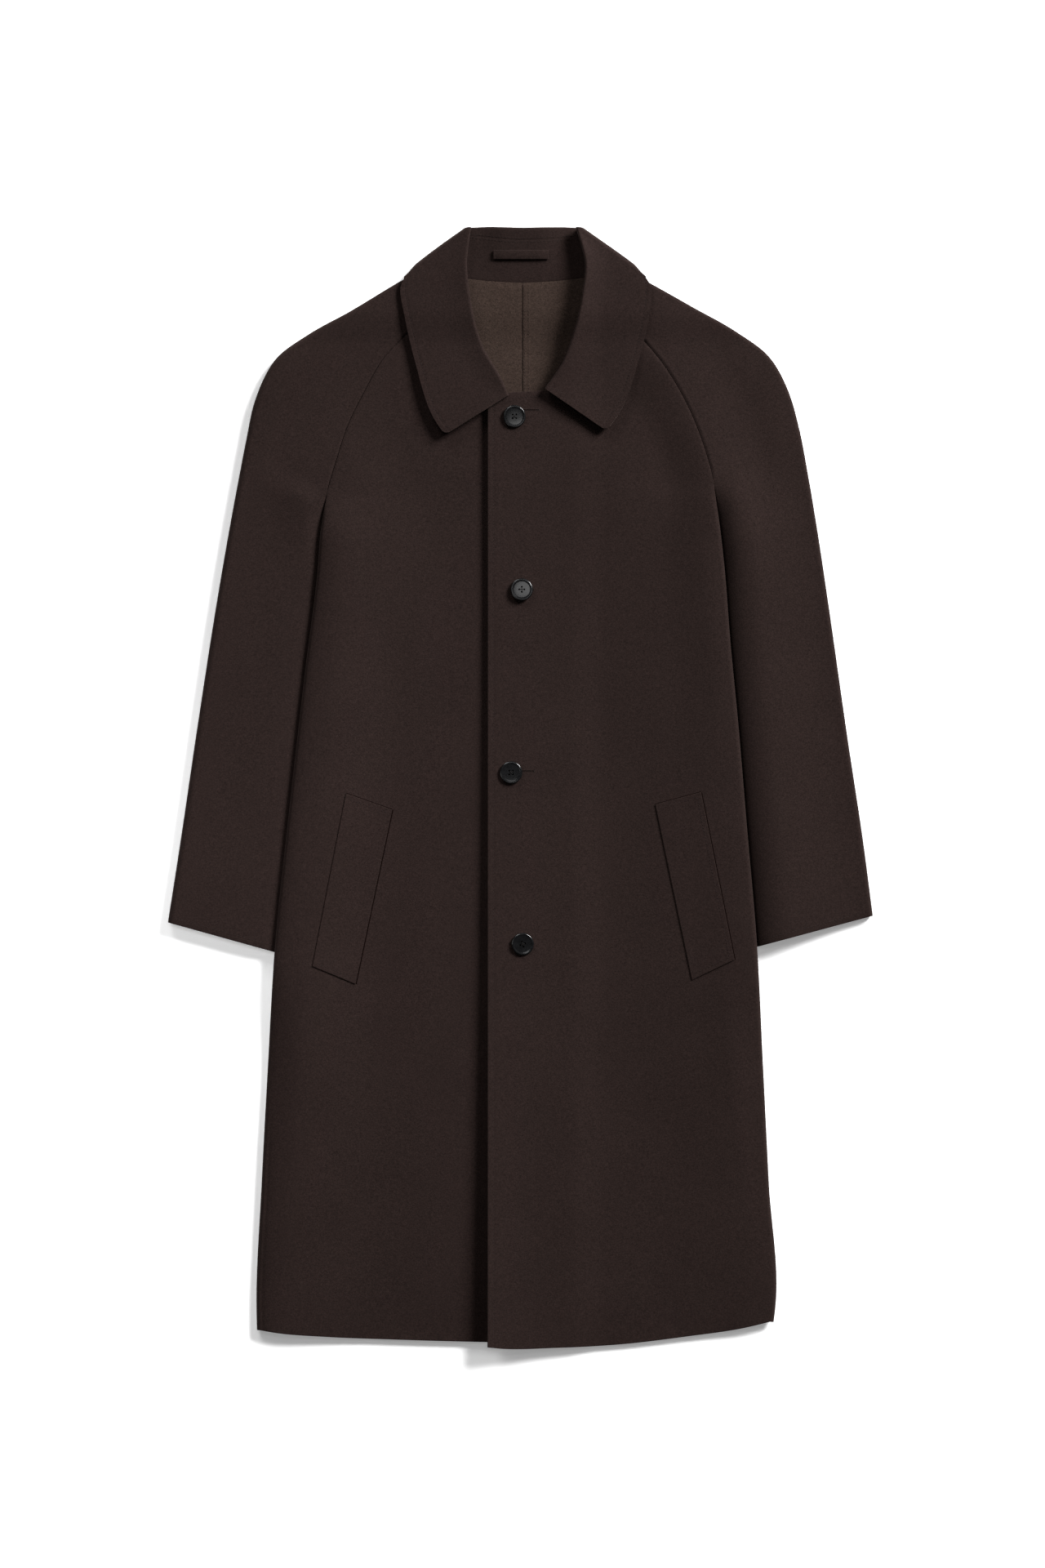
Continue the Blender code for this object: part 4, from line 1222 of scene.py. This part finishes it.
def make_welt(side):
    rows, columns = WELT_MESH
    grid = []
    for down in crowded(rows, WELT_CROWDING):
        line = np.array([welt_place(side, down, across) for across in crowded(columns, WELT_CROWDING)])
        grid.append(np.column_stack([line, welt_height(side, *line.T)]))
    return make_cloth("pocket_welt_%s_cloth" % side, grid, WELT_CLOTH, -1, True, [OUTER], WELT_RIM)


def welt_rows(side):
    """Stitch rows just inside the ends of a welt, and on the left one along its outer long edge."""
    top, bottom = WELT_STITCH_DOWN, 1 - WELT_STITCH_DOWN
    start, end = WELT_STITCH_ACROSS, 1 - WELT_STITCH_ACROSS
    lines = [((top, start), (top, end)), ((bottom, start), (bottom, end))]
    if side == "left":
        lines.append(((top, end), (bottom, end)))
    plans = [spread(welt_place(side, *first), welt_place(side, *last)) for first, last in lines]
    return [height_row(plan, partial(welt_height, side)) for plan in plans]


def make_hanger_loop():
    across, along = np.meshgrid(np.linspace(0.5, -0.5, 13), np.linspace(0, 1, 61), indexing="ij")
    bow = LOOP_BOW * ease(LOOP_BOW_RATE * along) * ease(LOOP_BOW_RATE * (1 - along))
    crown = LOOP_CROWN * (1 - (2 * across) ** 2)
    x = LOOP_CENTRE.x + LOOP_LENGTH * (along - 0.5)
    y = LOOP_CENTRE.y + LOOP_WIDTH * across
    grid = np.stack([x, y, stand_top(x, y) + SEAM + LOOP_CLOTH + bow + crown], axis=-1)
    return make_cloth("hanger_loop_cloth", grid, LOOP_CLOTH, -1, True, [OUTER], LOOP_RIM)


def loop_rows():
    """Stitch rows across both ends of the hanger loop."""
    half_length, half_width = LOOP_LENGTH / 2 - 4, LOOP_WIDTH / 2 - 0.8
    rows = []
    for x in (LOOP_CENTRE.x - half_length, LOOP_CENTRE.x + half_length):
        plan = spread((x, LOOP_CENTRE.y - half_width), (x, LOOP_CENTRE.y + half_width), 8)
        heights = stand_top(*plan.T) + SEAM + LOOP_CLOTH + LOOP_STITCH_LIFT
        rows.append(level_row(np.column_stack([plan, heights])))
    return rows


def make_centre_seam():
    """Lapped allowance beside the centre back seam, on the reverse face inside the neck."""
    y, x = np.meshgrid(np.linspace(*BACK_SEAM_Y, 60), np.linspace(*BACK_SEAM_X, 9), indexing="ij")
    puckers = 0.12 * np.sin(y / 3.1)
    grid = np.stack([x, y, back_under("left", x, y) + CLOTH + BACK_SEAM_CLOTH + puckers], axis=-1)
    return make_cloth("centre_back_seam", grid, BACK_SEAM_CLOTH, -1, True, [REVERSE], BACK_SEAM_RIM)


def centre_back_rows():
    """Two stitch rows beside the centre back seam, on the reverse face inside the neck."""
    def height(x, y):
        return back_under("left", x, y) + CLOTH + BACK_SEAM_CLOTH

    start, end = BACK_SEAM_Y[0], BACK_SEAM_Y[1] + 5
    plans = [spread((x, start), (x, end), 80) for x in BACK_SEAM_STITCHES]
    return [height_row(plan, height, REVERSE_STITCH_LIFT) for plan in plans]


def front_edge_row():
    """Stitch row along the front edge of the upper front."""
    x = OVERLAP_EDGE_X + STITCH_INSET
    start, end = FRONT_STITCH_Y
    return height_row(spread((x, start), (x, end), 400), partial(on_front, "left"))


def neck_edge_row():
    """Stitch row under the neck edge of the upper front, where it shows between the leaves."""
    sections = [collar_front_section("left", position) for position in np.linspace(0, 0.6, 20)]
    edge = [NECK_STITCH_START, NECK_BEND] + [(section.neck_x, section.neck_y) for section in sections]
    plan = np.array(edge) - (0, STITCH_INSET)
    return height_row(along_polyline(plan, np.linspace(0, 1, 50)), partial(on_front, "left"))


def cuff_row(side):
    """Stitch row above the edge of a cuff, on the upper layer of the sleeve."""
    position = len(SLEEVES[side]) - 1 - CUFF_STITCH_ROW
    upper = slice(UNDERARM_COLUMNS, UNDERARM_COLUMNS + SLEEVE_COLUMNS + 1)
    before, points, after = (sleeve_line(side, position + step)[upper] for step in (-0.01, 0.0, 0.01))
    normals = np.cross(after - before, np.gradient(points, axis=0))
    normals *= np.sign(normals[:, 2:3])
    normals /= np.linalg.norm(normals, axis=1, keepdims=True)
    return points + normals * STITCH_LIFT, normals


def painted_shade_line(name, side, start, end, half_width):
    """Thin strip of painted shade on a front: the shade in an open buttonhole between its lips, or in the seam along a
    welt.
    """
    middle = spread(start, end, 24)
    ahead = (middle[-1] - middle[0]) / np.linalg.norm(middle[-1] - middle[0])
    beside = np.array((-ahead[1], ahead[0])) * half_width
    plan = np.concatenate([middle - beside, middle + beside])
    verts = np.column_stack([plan, on_front(side, *plan.T) + SHADE_LINE_LIFT])
    count = len(middle)
    faces = [(step, step + 1, count + step + 1, count + step) for step in range(count - 1)]
    return new_object(name, verts, faces, [SEAM_SHADE])


# Buttons and buttonholes

def button_matrix(button):
    """Place of a button, square to the slope of the upper front and leaning a little."""
    height = partial(front_top, "left")
    slope_x, slope_y = slopes_of(height, button.x, button.y, BUTTON_RADIUS / 2)
    lean_x, lean_y = radians(button.lean_x), radians(button.lean_y)
    tilt = Euler((atan2(slope_y, 1) + lean_x, -atan2(slope_x, 1) + lean_y, 0)).to_matrix().to_4x4()
    lift = BUTTON_RADIUS / 2 * sin(max(abs(lean_x), abs(lean_y)))
    place = Vector((button.x, button.y, float(height(button.x, button.y)) + BUTTON_GAP + lift)) * MM
    return Matrix.Translation(place) @ tilt @ Matrix.Rotation(radians(button.turn), 4, "Z")


def object_from(name, shape):
    """Object with the mesh of a finished bmesh."""
    mesh = bpy.data.meshes.new(name)
    shape.to_mesh(mesh)
    shape.free()
    return link_object(name, mesh)


def button_pins():
    """Four pins that cut the holes of a button."""
    pins = bmesh.new()
    radius = HOLE_RADIUS * MM
    for angle in np.arange(4) * pi / 2:
        matrix = Matrix.Translation(Vector((cos(angle), sin(angle), 0)) * HOLE_OFFSET * MM)
        bmesh.ops.create_cone(pins, cap_ends=True, segments=20, radius1=radius, radius2=radius, depth=0.02,
                              matrix=matrix)
    return object_from("button_pins", pins)


def make_button(number, button):
    """Four-hole button turned from its profile."""
    turned = bmesh.new()
    rings = [turned.verts.new((ring.radius * MM, 0, ring.height * MM)) for ring in BUTTON_PROFILE]
    edges = [turned.edges.new(pair) for pair in zip(rings, rings[1:])]
    bmesh.ops.spin(turned, geom=rings + edges, cent=(0, 0, 0), axis=(0, 0, 1), angle=2 * pi,
                   steps=BUTTON_STEPS)
    bmesh.ops.remove_doubles(turned, verts=turned.verts, dist=0.00001)
    bmesh.ops.recalc_face_normals(turned, faces=turned.faces)
    item = object_from("button_%d_turned" % number, turned)
    item.data.materials.append(POLISHED)
    item.data.shade_smooth()
    item.data.set_sharp_from_angle(angle=radians(40))
    holes = item.modifiers.new("holes", "BOOLEAN")
    holes.object = button_pins()
    bpy.context.view_layer.update()
    cut = bpy.data.meshes.new_from_object(item.evaluated_get(bpy.context.evaluated_depsgraph_get()))
    bpy.data.objects.remove(holes.object, do_unlink=True)
    item.modifiers.clear()
    item.data = cut
    cut.transform(button_matrix(button))
    return item


def button_thread_rows(button):
    """Two crossing strands over the middle of a button, as rows of points in place."""
    matrix = button_matrix(button)
    normal = np.array(matrix.to_3x3() @ Vector((0, 0, 1)))
    rows = []
    for turn, top in zip((0, pi / 2), STRAND_HEIGHTS):
        points = []
        for along in np.linspace(-1, 1, 9):
            reach = along * HOLE_OFFSET
            place = Vector((reach * cos(turn), reach * sin(turn), top - STRAND_DIP * abs(along) ** 6)) * MM
            points.append(np.array(matrix @ place) / MM)
        rows.append((points, [normal] * len(points)))
    return rows


def buttonhole_rows(button):
    """Short stitches square to the slit, along both of its lips and round its ends."""
    inner, outer = HOLE_LIP
    plans = []
    for x in np.arange(button.hole_start, button.hole_end, HOLE_LIP_PITCH):
        for lip in (-1, 1):
            start, end = (x, button.hole_y + lip * inner), (x + HOLE_LIP_LEAN, button.hole_y + lip * outer)
            plans.append(spread(start, end, 4))
    for angle in np.linspace(-pi / 2, pi / 2, 7):
        for end, turn in ((button.hole_end, 1), (button.hole_start, -1)):
            centre, out = np.array((end, button.hole_y)), np.array((turn * cos(angle), sin(angle)))
            plans.append(spread(centre + out * inner, centre + out * outer, 4))
    return [height_row(plan, partial(on_front, "left")) for plan in plans]


# The coat

cloth = {}
trims = defaultdict(list)


def dress(piece, node, slot):
    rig.ride(piece, BODY)
    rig.replaces(piece, node)
    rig.slot(piece, slot)


def sew(node, piece, slot="dark_wool"):
    """Trim that belongs to the cloth of a node."""
    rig.ride(piece, BODY)
    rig.slot(piece, slot)
    trims[node].append(piece)


for side in ("right", "left"):
    cloth["front_" + side] = make_front(side)
    cloth["back_" + side] = make_back(side)
    cloth["sleeve_" + side] = make_sleeve(side)
    cloth["pocket_welt_" + side] = make_welt(side)
cloth["collar_fall"] = make_collar_fall()
cloth["collar_stand"] = make_collar_stand()
cloth["hanger_loop"] = make_hanger_loop()
for node, piece in cloth.items():
    dress(piece, node, "dark_wool")

for number, button in enumerate(BUTTONS, start=1):
    dress(make_button(number, button), "button_%d" % number, "black_button")

seams = {
    "front_left": [front_edge_row(), neck_edge_row()],
    "collar_fall": [collar_edge_row(), collar_end_row("right"), collar_end_row("left")],
    "collar_stand": stand_rows(),
    "pocket_welt_right": welt_rows("right"),
    "pocket_welt_left": welt_rows("left"),
    "sleeve_right": [cuff_row("right")],
    "sleeve_left": [cuff_row("left")],
    "hanger_loop": loop_rows(),
}
for node, rows in seams.items():
    sew(node, make_stitches(node + "_stitches", rows, THREAD))
sew("back_left", make_centre_seam())
sew("back_left", make_stitches("back_left_stitches", centre_back_rows(), REVERSE_THREAD))
strands = [row for button in BUTTONS for row in button_thread_rows(button)]
sew("front_left", make_stitches("button_threads", strands, DARK_THREAD, radius=0.35, length=5.0, pitch=5.0))
lips = [row for button in BUTTONS for row in buttonhole_rows(button)]
sew("front_left", make_stitches("buttonhole_stitches", lips, THREAD, radius=0.22, length=0.8, pitch=0.8))
# Painted shade: a dark strip in each buttonhole slit stands for the shade of the open slit
for number, button in enumerate(BUTTONS, start=1):
    start, end = (button.hole_start, button.hole_y), (button.hole_end, button.hole_y)
    sew("front_left", painted_shade_line("buttonhole_%d_slit" % number, "left", start, end, SLIT_SHADE_HALF))
# Painted shade: dark strips along the right long edge and the upper end of each welt stand for the shade in its seams
for side in ("right", "left"):
    node = "pocket_welt_" + side
    top_left, top_right, bottom_right, _ = np.array(WELTS[side])
    beside, above = (WELT_SEAM_SHADE_HALF, 0.0), (0.0, WELT_END_SHADE_HALF)
    sew(node, painted_shade_line(node + "_seam", side, top_right + beside, bottom_right + beside, WELT_SEAM_SHADE_HALF))
    sew(node, painted_shade_line(node + "_end", side, top_left + above, top_right + above, WELT_END_SHADE_HALF))

# Cut of each sheet in metres: width, length and area
Cut = namedtuple("Cut", "width length area rests_on")
CUTS = {
    "front_right": Cut(0.330, 1.110, 0.296, ["back_right", "back_left"]),
    "front_left": Cut(0.315, 1.115, 0.286, ["back_left", "front_right"]),
    "back_right": Cut(0.292, 1.132, 0.265, ["sleeve_right", "floor"]),
    "back_left": Cut(0.280, 1.138, 0.255, ["sleeve_left", "floor"]),
    "sleeve_right": Cut(0.270, 0.745, 0.165, ["floor"]),
    "sleeve_left": Cut(0.275, 0.740, 0.172, ["floor"]),
    "collar_fall": Cut(0.100, 0.560, 0.050, ["front_right", "front_left"]),
    "collar_stand": Cut(0.045, 0.360, 0.013, ["collar_fall"]),
    "pocket_welt_right": Cut(0.053, 0.192, 0.0096, ["front_right"]),
    "pocket_welt_left": Cut(0.051, 0.190, 0.0094, ["front_left"]),
    "hanger_loop": Cut(0.0105, 0.060, 0.0006, ["collar_stand"]),
}
for node, cut in CUTS.items():
    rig.sheet(cloth[node], flat=(cut.width, cut.length), held="laid", rests_on=cut.rests_on, area=cut.area,
             with_pieces=trims.get(node, []))


# Floor, light and camera

FLOOR_Z = -0.55
FLOOR_HALF = 6000.0
PHOTO_PIXEL = 0.87            # millimetres of the coat in a pixel of the photo
PHOTO_HEIGHT = 1920
PHOTO_CENTRE = (2.2, 3.5)
PHOTO_LEVEL = 8.0             # height over the surface at which the scale of the photo holds


def add_floor():
    """Pale floor that gives off a little light, so that its shadows stay pale."""
    material, _, shader = new_material("studio_floor")
    set_values(shader, {"Base Color": (0.97, 0.97, 0.97, 1.0), "Roughness": 0.9, "Specular IOR Level": 0.1,
                        "Emission Color": (1.0, 1.0, 1.0, 1.0), "Emission Strength": 0.3})
    corners = [(x * FLOOR_HALF, y * FLOOR_HALF, FLOOR_Z) for x, y in ((-1, -1), (1, -1), (1, 1), (-1, 1))]
    floor = new_object("floor", corners, [(0, 1, 2, 3)], [material], False)
    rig.stage(floor)


def add_light(name, place, size, power, target=(0.0, 0.0, 0.0)):
    lamp = bpy.data.lights.new(name, "AREA")
    lamp.shape = "RECTANGLE"
    lamp.size, lamp.size_y = size
    lamp.energy = power
    item = link_object(name, lamp)
    item.location = place
    item.rotation_euler = (Vector(target) - Vector(place)).to_track_quat("-Z", "Y").to_euler()
    item.visible_camera = False


def add_world():
    """Even studio surround, dimmer overhead than at the horizon."""
    world = bpy.data.worlds.new("studio")
    world.use_nodes = True
    tree = world.node_tree
    direction = tree.nodes.new("ShaderNodeTexCoord").outputs["Generated"]
    split = new_node(tree, "SeparateXYZ", {}, {"Vector": direction})
    values = {"From Min": 0.1, "From Max": 0.95, "To Min": 0.62, "To Max": 0.22}
    level = new_node(tree, "MapRange", values, {"Value": split.outputs["Z"]})
    level.interpolation_type = "SMOOTHSTEP"
    tree.links.new(level.outputs["Result"], tree.nodes["Background"].inputs["Strength"])
    bpy.context.scene.world = world


def add_camera():
    """Camera straight above the coat, with the frame of the photo."""
    lens, sensor = 200.0, 36.0
    camera_data = bpy.data.cameras.new("camera")
    camera_data.lens = lens
    camera_data.sensor_width = sensor
    camera_data.clip_end = 100.0
    camera = link_object("camera", camera_data)
    camera.location = Vector((*PHOTO_CENTRE, PHOTO_HEIGHT * PHOTO_PIXEL * lens / sensor + PHOTO_LEVEL)) * MM
    bpy.context.scene.camera = camera


add_floor()
add_world()
add_light("key", (6.10, 5.49, 4.37), (3.1, 3.1), 2370.0)
add_light("fill", (-3.2, 7.4, 3.9), (3.0, 3.0), 380.0)
add_light("top", (0.15, 0.95, 3.6), (1.0, 0.8), 9.0)
add_light("side", (-0.46, -0.10, 0.42), (0.2, 0.5), 0.75, target=(-0.40, -0.10, 0.0))
add_camera()
bpy.context.scene.view_settings.view_transform = "Standard"

with open("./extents.json", "w") as size_file:
    json.dump({"cad": [list(corner) for corner in cad_box],
               "visual": [list(corner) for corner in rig.bounds()]}, size_file)
